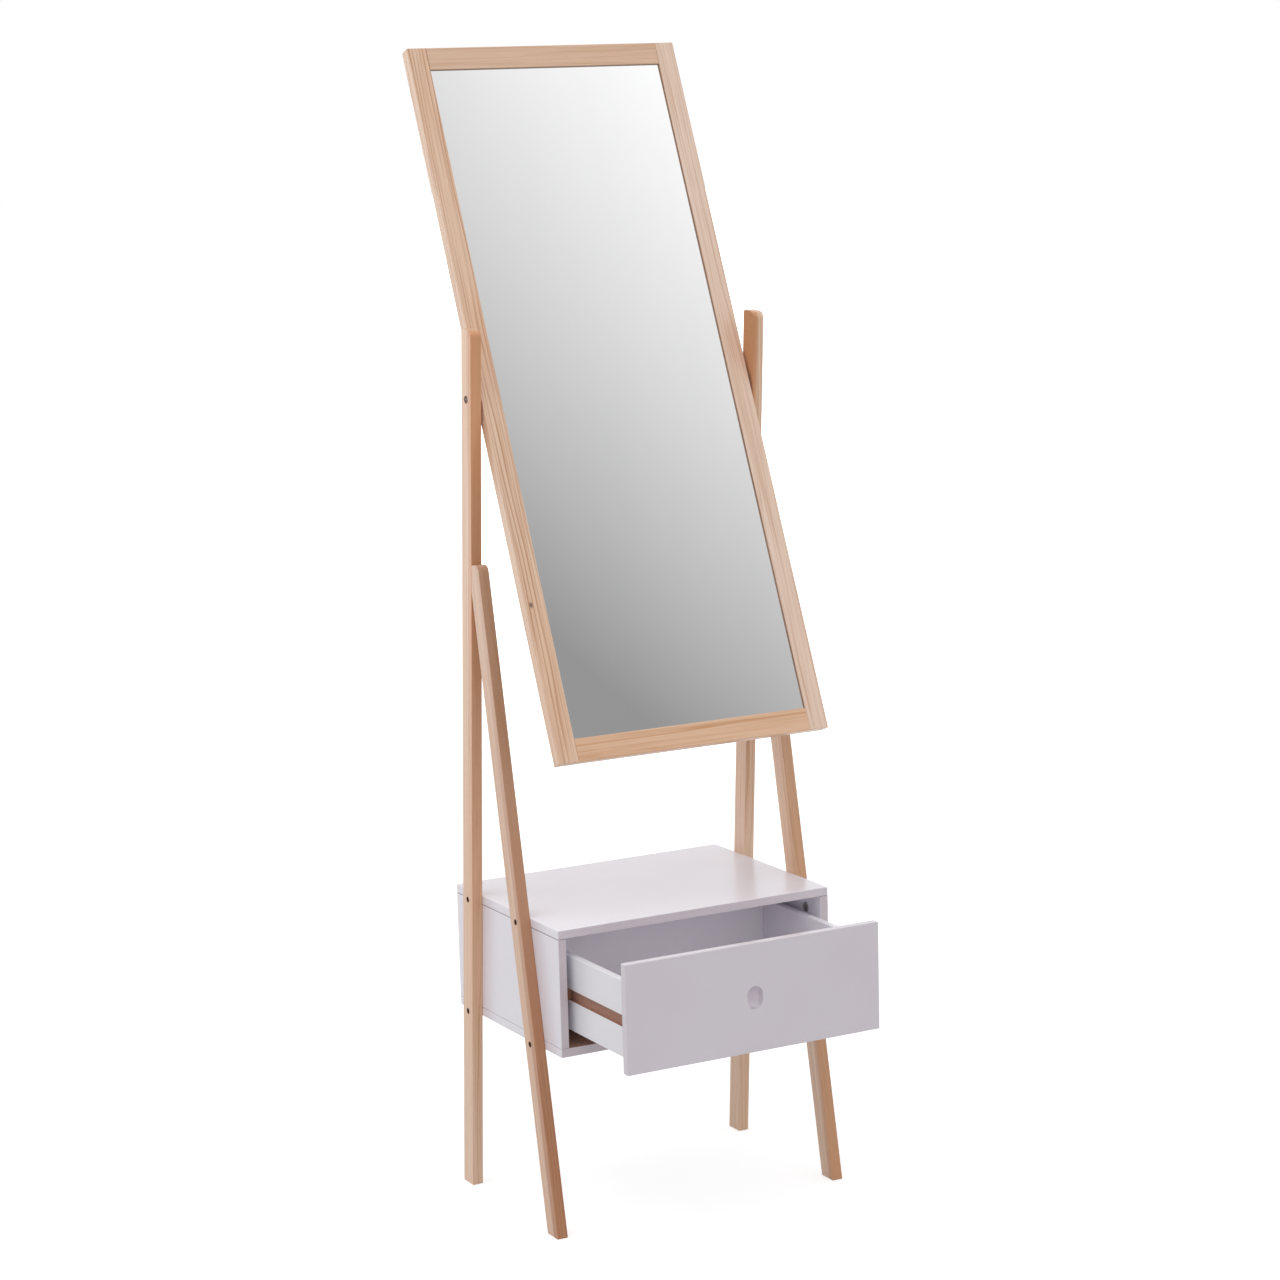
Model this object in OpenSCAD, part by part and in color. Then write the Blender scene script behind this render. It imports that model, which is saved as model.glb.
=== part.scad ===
// Cheval floor mirror: two leaning posts, two splayed front legs, a tilting
// framed glass on a pair of pivot bolts, and a one-drawer cabinet below it.
// Millimetres. +X to the viewer's right, -Y to the front, +Z up, floor at z = 0.

/* [Stand] */
// overall width over the outer faces of the posts
stand_w = 460; // [380:5:600]
// thickness of posts and legs, across the stand
member_t = 16; // [12:1:24]
// depth of posts and legs, front to back
member_d = 30; // [24:1:44]
// height of the middle of a rear post's top
post_h = 1233; // [1000:1:1500]
// forward lean of the rear posts, degrees
post_lean = 4.3; // [0:0.1:8]
// front face of the rear posts where it meets the floor
post_foot_y = 142.7; // [80:0.1:220]
// height of the front edge of a front leg's top, before rounding
leg_h = 914; // [700:1:1100]
// backward lean of the front legs, degrees
leg_lean = 10.95; // [6:0.05:16]
// front face of the front legs where it meets the floor
leg_foot_y = -122.7; // [-220:0.1:-60]
// radius on the front top corner of posts and legs
top_round = 11; // [2:0.5:14]
// radius on the rear top corner of the posts
rear_round = 4; // [1:0.5:10]

/* [Cabinet] */
// depth of the cabinet
cab_d = 316; // [240:1:400]
// height of the cabinet
cab_h = 178; // [120:1:260]
// underside of the cabinet above the floor
cab_z = 255.5; // [150:0.5:400]
// front face of the cabinet
cab_y = -121; // [-200:1:-60]
// thickness of the cabinet boards
board_t = 12; // [9:1:18]
// thickness of the back board
back_t = 3; // [3:0.5:6]
// distance of the back board from the rear edges
back_inset = 12; // [4:1:30]
// depth of the grooves that hold the back board
back_groove = 4; // [2:0.5:6]

/* [Drawer] */
// how far the drawer stands open in the stored pose
drawer_open = 157; // [0:1:200]
// width of the drawer front
front_w = 394; // [300:1:402]
// height of the drawer front
front_h = 151.5; // [80:0.5:153]
// gap under the drawer front
front_gap = 1; // [0.5:0.5:3]
// width over the drawer sides
box_w = 384; // [280:1:392]
// height of the drawer sides
box_h = 106; // [60:1:140]
// length of the drawer sides
box_l = 280; // [200:1:290]
// thickness of drawer sides and back
box_t = 10; // [8:1:12]
// underside of the drawer sides above the floor
box_z = 288.5; // [270:0.5:320]
// thickness of the drawer bottom
floor_t = 4; // [3:0.5:6]
// height of the drawer bottom's underside above the sides' underside
floor_up = 8; // [4:1:20]
// depth of the grooves that hold the drawer bottom
floor_groove = 4; // [2:0.5:6]
// width of the finger hole
pull_w = 24; // [16:1:40]
// height of the finger hole
pull_h = 32; // [20:1:60]

/* [Runners] */
// underside of the runner groove above the floor
groove_z = 330.5; // [300:0.5:360]
// height of the runner groove
groove_h = 16; // [10:0.5:20]
// depth of the runner groove in the drawer side
groove_d = 5; // [3:0.5:7]
// height of a runner strip
runner_h = 15; // [8:0.5:19]
// length of a runner strip
runner_l = 276; // [200:1:284]
// sliding play between runner and groove
runner_play = 0.05; // [0.01:0.01:0.1]

/* [Mirror] */
// width of the mirror frame
mirror_w = 422; // [340:1:560]
// height of the mirror frame
mirror_h = 1024; // [800:1:1300]
// thickness of the mirror frame
mirror_t = 17; // [12:0.5:24]
// width of the upright frame members
stile_w = 30; // [20:1:50]
// width of the top rail
top_rail_w = 32.5; // [20:0.5:50]
// width of the bottom rail
bottom_rail_w = 32; // [20:0.5:50]
// wood left in front of the glass
lip_t = 3; // [2:0.5:8]
// width of the rebate around the glass
rebate_w = 8; // [5:0.5:12]
// thickness of the glass
glass_t = 4; // [3:0.5:6]
// thickness of the backing board
backing_t = 4; // [2:0.5:6]
// play of glass and backing in the rebate
glass_play = 0.5; // [0.2:0.1:2]

/* [Pivot] */
// height of the pivot axis above the floor
pivot_z = 1138; // [900:1:1300]
// frame length above the pivot axis
pivot_up = 508; // [300:1:700]
// distance of the pivot axis behind the frame's front face
pivot_in = 8; // [5:0.5:12]
// backward tilt of the mirror in the stored pose, degrees
mirror_tilt = 22.8; // [0:0.1:60]
// pivot bolt shank radius
pivot_r = 3; // [2.5:0.5:5]
// pivot bolt head radius
pivot_head_r = 5; // [4:0.5:8]
// pivot bolt head height
pivot_head_h = 5; // [3:0.5:6]
// depth of the counterbore that takes the head
pivot_sink = 6; // [3:0.5:10]
// radial play of the bolt in the post
pivot_play = 0.05; // [0.01:0.01:0.1]

/* [Fixings] */
// radial clearance round fixed dowels, screws and bolts
snug = 0.05; // [0.02:0.01:0.2]
// dowel radius
dowel_r = 3; // [2:0.5:5]
// cam lock radius
cam_r = 7.5; // [6:0.5:8]
// depth of a cam lock in the side board
cam_h = 9.5; // [8:0.5:10]
// distance of a cam lock's centre from the end of the side board
cam_in = 24; // [20:1:34]
// distance of the cam locks from the front and rear edges
cam_edge = 41; // [20:1:60]
// cabinet bolt shank radius
bolt_r = 2.5; // [2:0.5:3]
// cabinet bolt head radius
bolt_head_r = 3.8; // [3:0.1:5]
// radius of the counterbore over a cabinet bolt
bolt_sink_r = 4.2; // [3:0.1:6]
// depth of the counterbore over a cabinet bolt
bolt_sink = 5; // [2:0.5:8]
// length of a cabinet bolt under its head
bolt_l = 45; // [30:1:60]
// wood screw shank radius
screw_r = 1.75; // [1.5:0.25:2.5]
// wood screw head radius
screw_head_r = 3.5; // [3:0.25:5]

/* [Hidden] */
$fn = 64;
eps = 1;                                  // how far a cutter runs past a face
half = stand_w / 2;                       // outer face of a post
inner = half - member_t;                  // inner face of a post
bar_x = half - member_t / 2;              // middle of a post across the stand
post_mid_z = member_d / 2 * sin(post_lean);
post_len = (post_h - post_mid_z) / cos(post_lean);
leg_len = leg_h / cos(leg_lean);
pivot_y = post_foot_y + member_d / 2 / cos(post_lean) - pivot_z * tan(post_lean);
cab_w = 2 * inner;                        // cabinet fills the gap between the posts
cab_top = cab_z + cab_h;
cab_rear = cab_y + cab_d;
bay_half = inner - board_t;               // inner face of a cabinet side
bay_z0 = cab_z + board_t;
bay_z1 = cab_top - board_t;
back_y = cab_rear - back_inset - back_t;
front_y = cab_y - drawer_open;            // front face of the drawer front
front_z = bay_z0 + front_gap;
box_y = front_y + board_t;                // front end of the drawer sides
box_rear = box_y + box_l;
box_half = box_w / 2;
box_in = box_half - box_t;                // inner face of a drawer side
floor_z = box_z + floor_up;
back_z = floor_z + floor_t;
runner_y = cab_y + board_t + 3;
runner_x = box_half - groove_d + 0.6;
runner_z = groove_z + groove_h - runner_h - runner_play;
stile_x = mirror_w / 2 - stile_w;         // inner face of a stile
m_front = -pivot_in;                      // mirror planes, measured from the pivot
m_rear = mirror_t - pivot_in;
m_glass = m_front + lip_t;
m_back = m_glass + glass_t;
m_top = pivot_up;
m_bot = pivot_up - mirror_h;
m_in_top = m_top - top_rail_w;
m_in_bot = m_bot + bottom_rail_w;
washer_t = inner - mirror_w / 2;          // gap between frame and post
insert_l = 14;                            // pivot insert length
insert_r = 4.5;                           // pivot insert radius
clip_t = 1.2;                             // mirror clip sheet thickness
clip_z = [-440, -150, 150, 440];          // clip heights on each stile
clip_x = 90;                              // clip distance from the middle of a rail
mid_panels = [cab_top - board_t / 2, cab_z + board_t / 2];
cam_ys = [cab_y + cam_edge, cab_rear - cam_edge];
dowel_ys = [cab_y + 140, cab_rear - 115];   // clear of bolts and cams
screw_ys = [runner_y + 24, runner_y + runner_l / 2, runner_y + runner_l - 24];
board_x = inner - board_t / 2;            // middle of a side board
pine = [0.86, 0.72, 0.56];
white = [0.90, 0.88, 0.92];
raw_board = [0.55, 0.38, 0.28];
steel = [0.62, 0.62, 0.64];
zinc = [0.70, 0.70, 0.68];
brass = [0.78, 0.62, 0.32];

// ---- helpers ----

// Everything is drawn on the right and mirrored for the left.
module left() { mirror([1, 0, 0]) children(); }

// A round bar or hole along +X from (x, y, z).
module along_x(x, y, z, r, l) { translate([x, y, z]) rotate([0, 90, 0]) cylinder(r = r, h = l); }

// A round bar or hole along +Y from (x, y, z).
module along_y(x, y, z, r, l) { translate([x, y, z]) rotate([-90, 0, 0]) cylinder(r = r, h = l); }

// A block from one corner to the other.
module block(a, b) { translate(a) cube([b[0] - a[0], b[1] - a[1], b[2] - a[2]]); }

// What a quarter round of radius r takes off a corner at the origin; the
// material lies towards +Y and -Z.
module corner_cut(r, w) {
    translate([-eps, 0, 0]) difference() {
        translate([0, -eps, -r]) cube([w + 2 * eps, r + eps, r + eps]);
        translate([-eps, r, -r]) rotate([0, 90, 0]) cylinder(r = r, h = w + 4 * eps);
    }
}

// A bar standing on z = 0 with rounded front and rear top corners.
module bar(len, front_r, rear_r) {
    difference() {
        translate([0, 0, -10]) cube([member_t, member_d, len + 10]);
        translate([0, 0, len]) corner_cut(front_r, member_t);
        if (rear_r > 0)
            translate([0, member_d, len]) mirror([0, 1, 0]) corner_cut(rear_r, member_t);
    }
}

// Frames of the leaning members and of the tilted mirror.
module on_post() { translate([inner, post_foot_y, 0]) rotate([post_lean, 0, 0]) children(); }
module on_leg() { translate([inner, leg_foot_y, 0]) rotate([-leg_lean, 0, 0]) children(); }
module tilted() { translate([0, pivot_y, pivot_z]) rotate([-mirror_tilt, 0, 0]) children(); }

// Middle line of a post and of a leg at height z.
function post_y(z) = post_foot_y + member_d / 2 / cos(post_lean) - z * tan(post_lean);
function leg_y(z) = leg_foot_y + member_d / 2 / cos(leg_lean) + z * tan(leg_lean);

// Holes for the cabinet bolts through a member whose middle line is at ys.
module bolt_holes(ys) {
    for (i = [0, 1]) {
        along_x(inner - eps, ys[i], mid_panels[i], bolt_r + snug, member_t + 2 * eps);
        along_x(half - bolt_sink, ys[i], mid_panels[i], bolt_sink_r, bolt_sink + eps);
    }
}
post_ys = [for (z = mid_panels) post_y(z)];
leg_ys = [for (z = mid_panels) leg_y(z)];

// Leg-to-post joint: heights along the post of the dowel and of the screw.
joint_dowel_u = 883 / cos(post_lean);
joint_screw_u = 898 / cos(post_lean);
joint_sink = 8;                           // depth of the counterbore behind the post
joint_screw_l = member_d - joint_sink + 16;

// ---- stand ----

module post() {
    color(pine) difference() {
        on_post() bar(post_len, top_round, rear_round);
        translate([inner - eps, post_foot_y - 20, -40]) cube([member_t + 2 * eps, 80, 40]);
        along_x(inner - eps, pivot_y, pivot_z, pivot_r + pivot_play, member_t + 2 * eps);
        along_x(half - pivot_sink, pivot_y, pivot_z, pivot_head_r + 0.5, pivot_sink + eps);
        bolt_holes(post_ys);
        on_post() {
            along_y(member_t / 2, -eps, joint_dowel_u, dowel_r + snug, 13 + eps);
            along_y(member_t / 2, -eps, joint_screw_u, bolt_r + snug, member_d + 2 * eps);
            along_y(member_t / 2, member_d - joint_sink, joint_screw_u, bolt_sink_r, joint_sink + eps);
        }
    }
}

module leg() {
    color(pine) difference() {
        on_leg() bar(leg_len, top_round, 0);
        translate([inner - eps, leg_foot_y - 20, -40]) cube([member_t + 2 * eps, 80, 40]);
        on_post() translate([-eps, 0, 700]) cube([member_t + 2 * eps, 120, 400]);
        bolt_holes(leg_ys);
        on_post() {
            along_y(member_t / 2, -13, joint_dowel_u, dowel_r + snug, 13 + eps);
            along_y(member_t / 2, -17, joint_screw_u, bolt_r + snug, 17 + eps);
        }
    }
}

module leg_dowel() {
    color(pine) on_post() along_y(member_t / 2, -12.5, joint_dowel_u, dowel_r, 25);
}

module leg_screw() {
    color(steel) on_post() {
        along_y(member_t / 2, member_d - joint_sink - joint_screw_l, joint_screw_u, bolt_r, joint_screw_l);
        difference() {
            along_y(member_t / 2, member_d - joint_sink, joint_screw_u, bolt_head_r, 3);
            along_y(member_t / 2, member_d - joint_sink + 1, joint_screw_u, 1.6, 3);
        }
    }
}

module cabinet_bolts() {
    color(steel) for (m = [post_ys, leg_ys], i = [0, 1]) {
        along_x(half - bolt_sink - bolt_l, m[i], mid_panels[i], bolt_r, bolt_l);
        difference() {
            along_x(half - bolt_sink, m[i], mid_panels[i], bolt_head_r, 3);
            along_x(half - bolt_sink + 1, m[i], mid_panels[i], 1.6, 3);
        }
    }
}

// ---- cabinet ----

// Bores in the end of a top or bottom board for the bolts, as seen from the right.
module board_bores(i) {
    for (m = [post_ys, leg_ys])
        along_x(half - bolt_sink - bolt_l - 2, m[i], mid_panels[i], bolt_r + snug, bolt_l);
}

// Bores for cam bolts and dowels, from face height z in direction dir (+1 up).
module end_bores(z, dir, cam_len, dowel_len) {
    for (y = cam_ys) translate([board_x, y, z - (dir < 0 ? cam_len : 0)])
        cylinder(r = bolt_r + snug, h = cam_len);
    for (y = dowel_ys) translate([board_x, y, z - (dir < 0 ? dowel_len : 0)])
        cylinder(r = dowel_r + snug, h = dowel_len);
}

module cabinet_top() {
    color(white) difference() {
        block([-inner, cab_y, bay_z1], [inner, cab_rear, cab_top]);
        board_bores(0);
        left() board_bores(0);
        end_bores(bay_z1 - eps, 1, 8 + eps, 8 + eps);
        left() end_bores(bay_z1 - eps, 1, 8 + eps, 8 + eps);
        block([-bay_half - back_groove, back_y, bay_z1 - eps],
              [bay_half + back_groove, back_y + back_t, bay_z1 + back_groove]);
    }
}

module cabinet_bottom() {
    color(white) difference() {
        block([-inner, cab_y, cab_z], [inner, cab_rear, bay_z0]);
        board_bores(1);
        left() board_bores(1);
        end_bores(bay_z0 + eps, -1, 8 + eps, 8 + eps);
        left() end_bores(bay_z0 + eps, -1, 8 + eps, 8 + eps);
        block([-bay_half - back_groove, back_y, bay_z0 - back_groove],
              [bay_half + back_groove, back_y + back_t, bay_z0 + eps]);
    }
}

module cabinet_side() {
    color(white) difference() {
        block([bay_half, cab_y, bay_z0], [inner, cab_rear, bay_z1]);
        for (y = cam_ys) {
            for (z = [bay_z0 + cam_in, bay_z1 - cam_in])
                along_x(bay_half - eps, y, z, cam_r + snug, cam_h + eps);
            translate([board_x, y, bay_z0 - eps]) cylinder(r = 3.6, h = cam_in + eps);
            translate([board_x, y, bay_z1 - cam_in]) cylinder(r = 3.6, h = cam_in + eps);
        }
        for (y = dowel_ys) {
            translate([board_x, y, bay_z0 - eps]) cylinder(r = dowel_r + snug, h = 19 + eps);
            translate([board_x, y, bay_z1 - 19]) cylinder(r = dowel_r + snug, h = 19 + eps);
        }
        block([bay_half - eps, back_y, bay_z0 - eps],
              [bay_half + back_groove, back_y + back_t, bay_z1 + eps]);
        for (y = screw_ys)
            along_x(bay_half - eps, y, runner_z + runner_h / 2, screw_r + snug, 9 + eps);
    }
}

module cabinet_back() {
    g = back_groove - 0.5;
    color(white) block([-bay_half - g, back_y, bay_z0 - g],
                       [bay_half + g, back_y + back_t, bay_z1 + g]);
}

module cam_locks() {
    color(zinc) for (y = cam_ys, up = [0, 1]) {
        z = up == 1 ? bay_z1 - cam_in : bay_z0 + cam_in;
        difference() {
            along_x(bay_half + 0.1, y, z, cam_r, cam_h - 0.2);
            translate([board_x, y, up == 1 ? z - 2.5 : z - 12]) cylinder(r = 3.6, h = 14.5);
            block([bay_half - eps, y - 4.5, z - 0.8], [bay_half + 1.4, y + 4.5, z + 0.8]);
            block([bay_half - eps, y - 0.8, z - 4.5], [bay_half + 1.4, y + 0.8, z + 4.5]);
        }
    }
}

module cam_bolts() {
    color(zinc) for (y = cam_ys) {
        translate([board_x, y, bay_z1 - cam_in + 1]) cylinder(r = 2.5, h = cam_in - 1 + 7.5);
        translate([board_x, y, bay_z1 - cam_in - 2]) cylinder(r = 3.4, h = 3);
        translate([board_x, y, bay_z0 - 7.5]) cylinder(r = 2.5, h = cam_in - 1 + 7.5);
        translate([board_x, y, bay_z0 + cam_in - 1]) cylinder(r = 3.4, h = 3);
    }
}

module cabinet_dowels() {
    color(pine) for (y = dowel_ys) {
        translate([board_x, y, bay_z0 - 7.5]) cylinder(r = dowel_r, h = 26);
        translate([board_x, y, bay_z1 - 18.5]) cylinder(r = dowel_r, h = 26);
    }
}

// ---- runners ----

module runner() {
    color(pine) difference() {
        block([runner_x, runner_y, runner_z],
              [bay_half, runner_y + runner_l, runner_z + runner_h]);
        for (y = screw_ys) {
            along_x(runner_x - eps, y, runner_z + runner_h / 2, screw_r + snug, 20);
            translate([runner_x, y, runner_z + runner_h / 2]) rotate([0, 90, 0])
                cylinder(r1 = screw_head_r + 0.2, r2 = screw_r + snug, h = 2.2);
        }
    }
}

module runner_screws() {
    color(steel) for (y = screw_ys) translate([runner_x + 0.2, y, runner_z + runner_h / 2]) {
        rotate([0, 90, 0]) cylinder(r = screw_r, h = bay_half - runner_x + 8.5);
        difference() {
            rotate([0, 90, 0]) cylinder(r1 = screw_head_r - 0.2, r2 = screw_r, h = 1.9);
            block([-0.5, -2.2, -0.4], [0.8, 2.2, 0.4]);
            block([-0.5, -0.4, -2.2], [0.8, 0.4, 2.2]);
        }
    }
}

// ---- drawer ----

dowel_zs = [box_z + 24, box_z + box_h - 24];   // clear of the runner groove
back_screw_zs = [back_z + 12, box_z + box_h - 16];

module drawer_front() {
    pull_z = front_z + front_h / 2;
    pr = pull_w / 2;
    color(white) difference() {
        block([-front_w / 2, front_y, front_z], [front_w / 2, box_y, front_z + front_h]);
        for (s = [-1, 1])
            along_y(0, front_y - eps, pull_z + s * (pull_h / 2 - pr), pr, board_t + 2 * eps);
        block([-pr, front_y - eps, pull_z - pull_h / 2 + pr],
              [pr, box_y + eps, pull_z + pull_h / 2 - pr]);
        for (s = [-1, 1], z = dowel_zs)
            along_y(s * (box_half - box_t / 2), box_y - 8, z, dowel_r + snug, 8 + eps);
        block([-box_in - floor_groove, box_y - floor_groove, floor_z],
              [box_in + floor_groove, box_y + eps, floor_z + floor_t]);
    }
}

module drawer_side() {
    color(white) difference() {
        block([box_in, box_y, box_z], [box_half, box_rear, box_z + box_h]);
        block([box_half - groove_d, box_y - eps, groove_z],
              [box_half + eps, box_rear + eps, groove_z + groove_h]);
        block([box_in - eps, box_y - eps, floor_z],
              [box_in + floor_groove, box_rear + eps, floor_z + floor_t]);
        for (z = dowel_zs) along_y(box_half - box_t / 2, box_y - eps, z, dowel_r + snug, 19 + eps);
        for (z = back_screw_zs) {
            along_x(box_in - eps, box_rear - box_t / 2, z, screw_r + snug, box_t + 2 * eps);
            translate([box_half - 2.2, box_rear - box_t / 2, z]) rotate([0, 90, 0])
                cylinder(r1 = screw_r + snug, r2 = screw_head_r + 0.2, h = 2.3);
        }
    }
}

module drawer_back() {
    color(white) difference() {
        block([-box_in, box_rear - box_t, back_z], [box_in, box_rear, box_z + box_h]);
        for (s = [0, 1], z = back_screw_zs) mirror([s, 0, 0])
            along_x(box_in - 23, box_rear - box_t / 2, z, screw_r + snug, 23 + eps);
    }
}

module drawer_bottom() {
    g = floor_groove - 0.3;
    color(white) block([-box_in - g, box_y - g, floor_z], [box_in + g, box_rear, floor_z + floor_t]);
}

module drawer_dowels() {
    color(pine) for (s = [-1, 1], z = dowel_zs)
        along_y(s * (box_half - box_t / 2), box_y - 7.5, z, dowel_r, 26);
}

module drawer_screws() {
    color(steel) for (s = [0, 1], z = back_screw_zs) mirror([s, 0, 0]) {
        along_x(box_half - 0.2 - 32, box_rear - box_t / 2, z, screw_r, 32);
        difference() {
            translate([box_half - 2.1, box_rear - box_t / 2, z]) rotate([0, 90, 0])
                cylinder(r1 = screw_r, r2 = screw_head_r - 0.2, h = 1.9);
            block([box_half - 0.9, box_rear - box_t / 2 - 2.2, z - 0.4],
                  [box_half + 1, box_rear - box_t / 2 + 2.2, z + 0.4]);
            block([box_half - 0.9, box_rear - box_t / 2 - 0.4, z - 2.2],
                  [box_half + 1, box_rear - box_t / 2 + 0.4, z + 2.2]);
        }
    }
}

// ---- mirror, drawn upright about the pivot axis, then tilted ----

rail_dowel_top = [m_top - 8, m_top - 19];
rail_dowel_bot = [m_bot + 8, m_bot + 19];
frame_mid = (m_front + m_rear) / 2;

module stile() {
    color(pine) tilted() difference() {
        block([stile_x, m_front, m_bot], [mirror_w / 2, m_rear, m_top]);
        block([stile_x - eps, m_glass, m_in_bot - rebate_w],
              [stile_x + rebate_w, m_rear + eps, m_in_top + rebate_w]);
        for (z = concat(rail_dowel_top, rail_dowel_bot))
            along_x(stile_x - eps, frame_mid, z, dowel_r + snug, 16 + eps);
        along_x(mirror_w / 2 - insert_l - 0.5, 0, 0, insert_r + snug, insert_l + 0.5 + eps);
        for (z = clip_z) along_y(stile_x + 16, m_rear - 8, z, screw_r + snug, 8 + eps);
    }
}

module rail(z0, z1, inner_edge, dowels) {
    r0 = inner_edge == 1 ? z1 - rebate_w : z0 - eps;
    r1 = inner_edge == 1 ? z1 + eps : z0 + rebate_w;
    clip = inner_edge == 1 ? z1 - 16 : z0 + 16;
    color(pine) tilted() difference() {
        block([-stile_x, m_front, z0], [stile_x, m_rear, z1]);
        block([-stile_x - eps, m_glass, r0], [stile_x + eps, m_rear + eps, r1]);
        for (s = [0, 1], z = dowels) mirror([s, 0, 0])
            along_x(stile_x - 21, frame_mid, z, dowel_r + snug, 21 + eps);
        for (s = [-1, 1]) along_y(s * clip_x, m_rear - 8, clip, screw_r + snug, 8 + eps);
    }
}

module mirror_dowels() {
    color(pine) tilted() for (s = [0, 1], z = concat(rail_dowel_top, rail_dowel_bot)) mirror([s, 0, 0])
        along_x(stile_x - 20, frame_mid, z, dowel_r, 35);
}

module mirror_glass() {
    p = rebate_w - glass_play;
    color([0.80, 0.83, 0.85]) tilted()
        block([-stile_x - p, m_glass, m_in_bot - p], [stile_x + p, m_back, m_in_top + p]);
}

module mirror_backing() {
    p = rebate_w - glass_play;
    color(raw_board) tilted()
        block([-stile_x - p, m_back, m_in_bot - p], [stile_x + p, m_back + backing_t, m_in_top + p]);
}

// An offset clip: a foot on the backing, a riser, and a plate on the frame.
// Drawn at the middle of the right edge of the opening.
module clip() {
    b = m_back + backing_t;
    difference() {
        union() {
            block([-12, b, -6], [4, b + clip_t, 6]);
            block([4 - clip_t, b, -6], [4, m_rear + clip_t, 6]);
            block([4 - clip_t, m_rear, -6], [22, m_rear + clip_t, 6]);
        }
        along_y(16, m_rear - eps, 0, screw_r + snug, clip_t + 2 * eps);
    }
}

module clip_screw() {
    along_y(16, m_rear - 7, 0, screw_r, 7 + clip_t);
    difference() {
        along_y(16, m_rear + clip_t, 0, screw_head_r, 1.8);
        block([13.8, m_rear + clip_t + 1, -0.4], [18.2, m_rear + clip_t + 3, 0.4]);
        block([15.6, m_rear + clip_t + 1, -2.2], [16.4, m_rear + clip_t + 3, 2.2]);
    }
}

// Puts a clip or its screw at every clip position round the frame.
module at_clips() {
    for (s = [0, 1], z = clip_z) mirror([s, 0, 0]) translate([stile_x, 0, z]) children();
    for (s = [-1, 1]) {
        translate([s * clip_x, 0, m_in_top]) rotate([0, -90, 0]) children();
        translate([s * clip_x, 0, m_in_bot]) rotate([0, 90, 0]) children();
    }
}

module mirror_clips() { color(zinc) tilted() at_clips() clip(); }
module clip_screws() { color(steel) tilted() at_clips() clip_screw(); }

// ---- pivots ----

module pivot_bolt() {
    head_x = half - pivot_sink + 0.1;
    color(steel) translate([0, pivot_y, pivot_z]) {
        along_x(mirror_w / 2 - insert_l + 1, 0, 0, pivot_r, head_x - mirror_w / 2 + insert_l - 1);
        difference() {
            along_x(head_x, 0, 0, pivot_head_r, pivot_head_h);
            translate([head_x + 2, 0, 0]) rotate([0, 90, 0]) cylinder(r = 2.9, h = pivot_head_h, $fn = 6);
        }
    }
}

module pivot_washer() {
    color([0.85, 0.84, 0.80]) translate([0, pivot_y, pivot_z]) difference() {
        along_x(mirror_w / 2, 0, 0, 8, washer_t - 0.1);
        along_x(mirror_w / 2 - eps, 0, 0, pivot_r + snug, washer_t + 2 * eps);
    }
}

module pivot_insert() {
    color(brass) translate([0, pivot_y, pivot_z]) difference() {
        along_x(mirror_w / 2 - insert_l, 0, 0, insert_r, insert_l - 0.1);
        along_x(mirror_w / 2 - insert_l - eps, 0, 0, pivot_r + snug, insert_l + 2 * eps);
    }
}

// ---- nodes ----

left() post();  // left_rear_post
post();  // right_rear_post
left() leg();  // left_front_leg
leg();  // right_front_leg
left() leg_dowel();  // left_leg_dowel
leg_dowel();  // right_leg_dowel
left() leg_screw();  // left_leg_screw
leg_screw();  // right_leg_screw
left() cabinet_bolts();  // left_cabinet_bolts
cabinet_bolts();  // right_cabinet_bolts
cabinet_top();
cabinet_bottom();
left() cabinet_side();  // cabinet_left_side
cabinet_side();  // cabinet_right_side
cabinet_back();
left() cam_locks();  // left_cam_locks
cam_locks();  // right_cam_locks
left() cam_bolts();  // left_cam_bolts
cam_bolts();  // right_cam_bolts
left() cabinet_dowels();  // left_cabinet_dowels
cabinet_dowels();  // right_cabinet_dowels
left() runner();  // left_runner
runner();  // right_runner
left() runner_screws();  // left_runner_screws
runner_screws();  // right_runner_screws
drawer_front();
left() drawer_side();  // drawer_left_side
drawer_side();  // drawer_right_side
drawer_back();
drawer_bottom();
drawer_dowels();
drawer_screws();
left() stile();  // mirror_left_stile
stile();  // mirror_right_stile
rail(m_in_top, m_top, 0, rail_dowel_top);  // mirror_top_rail
rail(m_bot, m_in_bot, 1, rail_dowel_bot);  // mirror_bottom_rail
mirror_dowels();
mirror_glass();
mirror_backing();
mirror_clips();
clip_screws();
left() pivot_bolt();  // left_pivot_bolt
pivot_bolt();  // right_pivot_bolt
left() pivot_washer();  // left_pivot_washer
pivot_washer();  // right_pivot_washer
left() pivot_insert();  // left_pivot_insert
pivot_insert();  // right_pivot_insert
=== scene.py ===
"""A cheval floor mirror: pine stand, tilting framed glass and a lacquered cabinet with one drawer.

Sizes are millimetres in the dataclass fields and metres in the finished meshes. +X is to the
right seen from the front, -Y to the front, +Z up, and the floor is z = 0.
"""
import logging
import math
from collections.abc import Callable, Sequence
from dataclasses import dataclass, field, replace
from enum import Enum

import bpy
import numpy as np
from mathutils import Matrix, Vector
from mathutils.geometry import delaunay_2d_cdt


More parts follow.
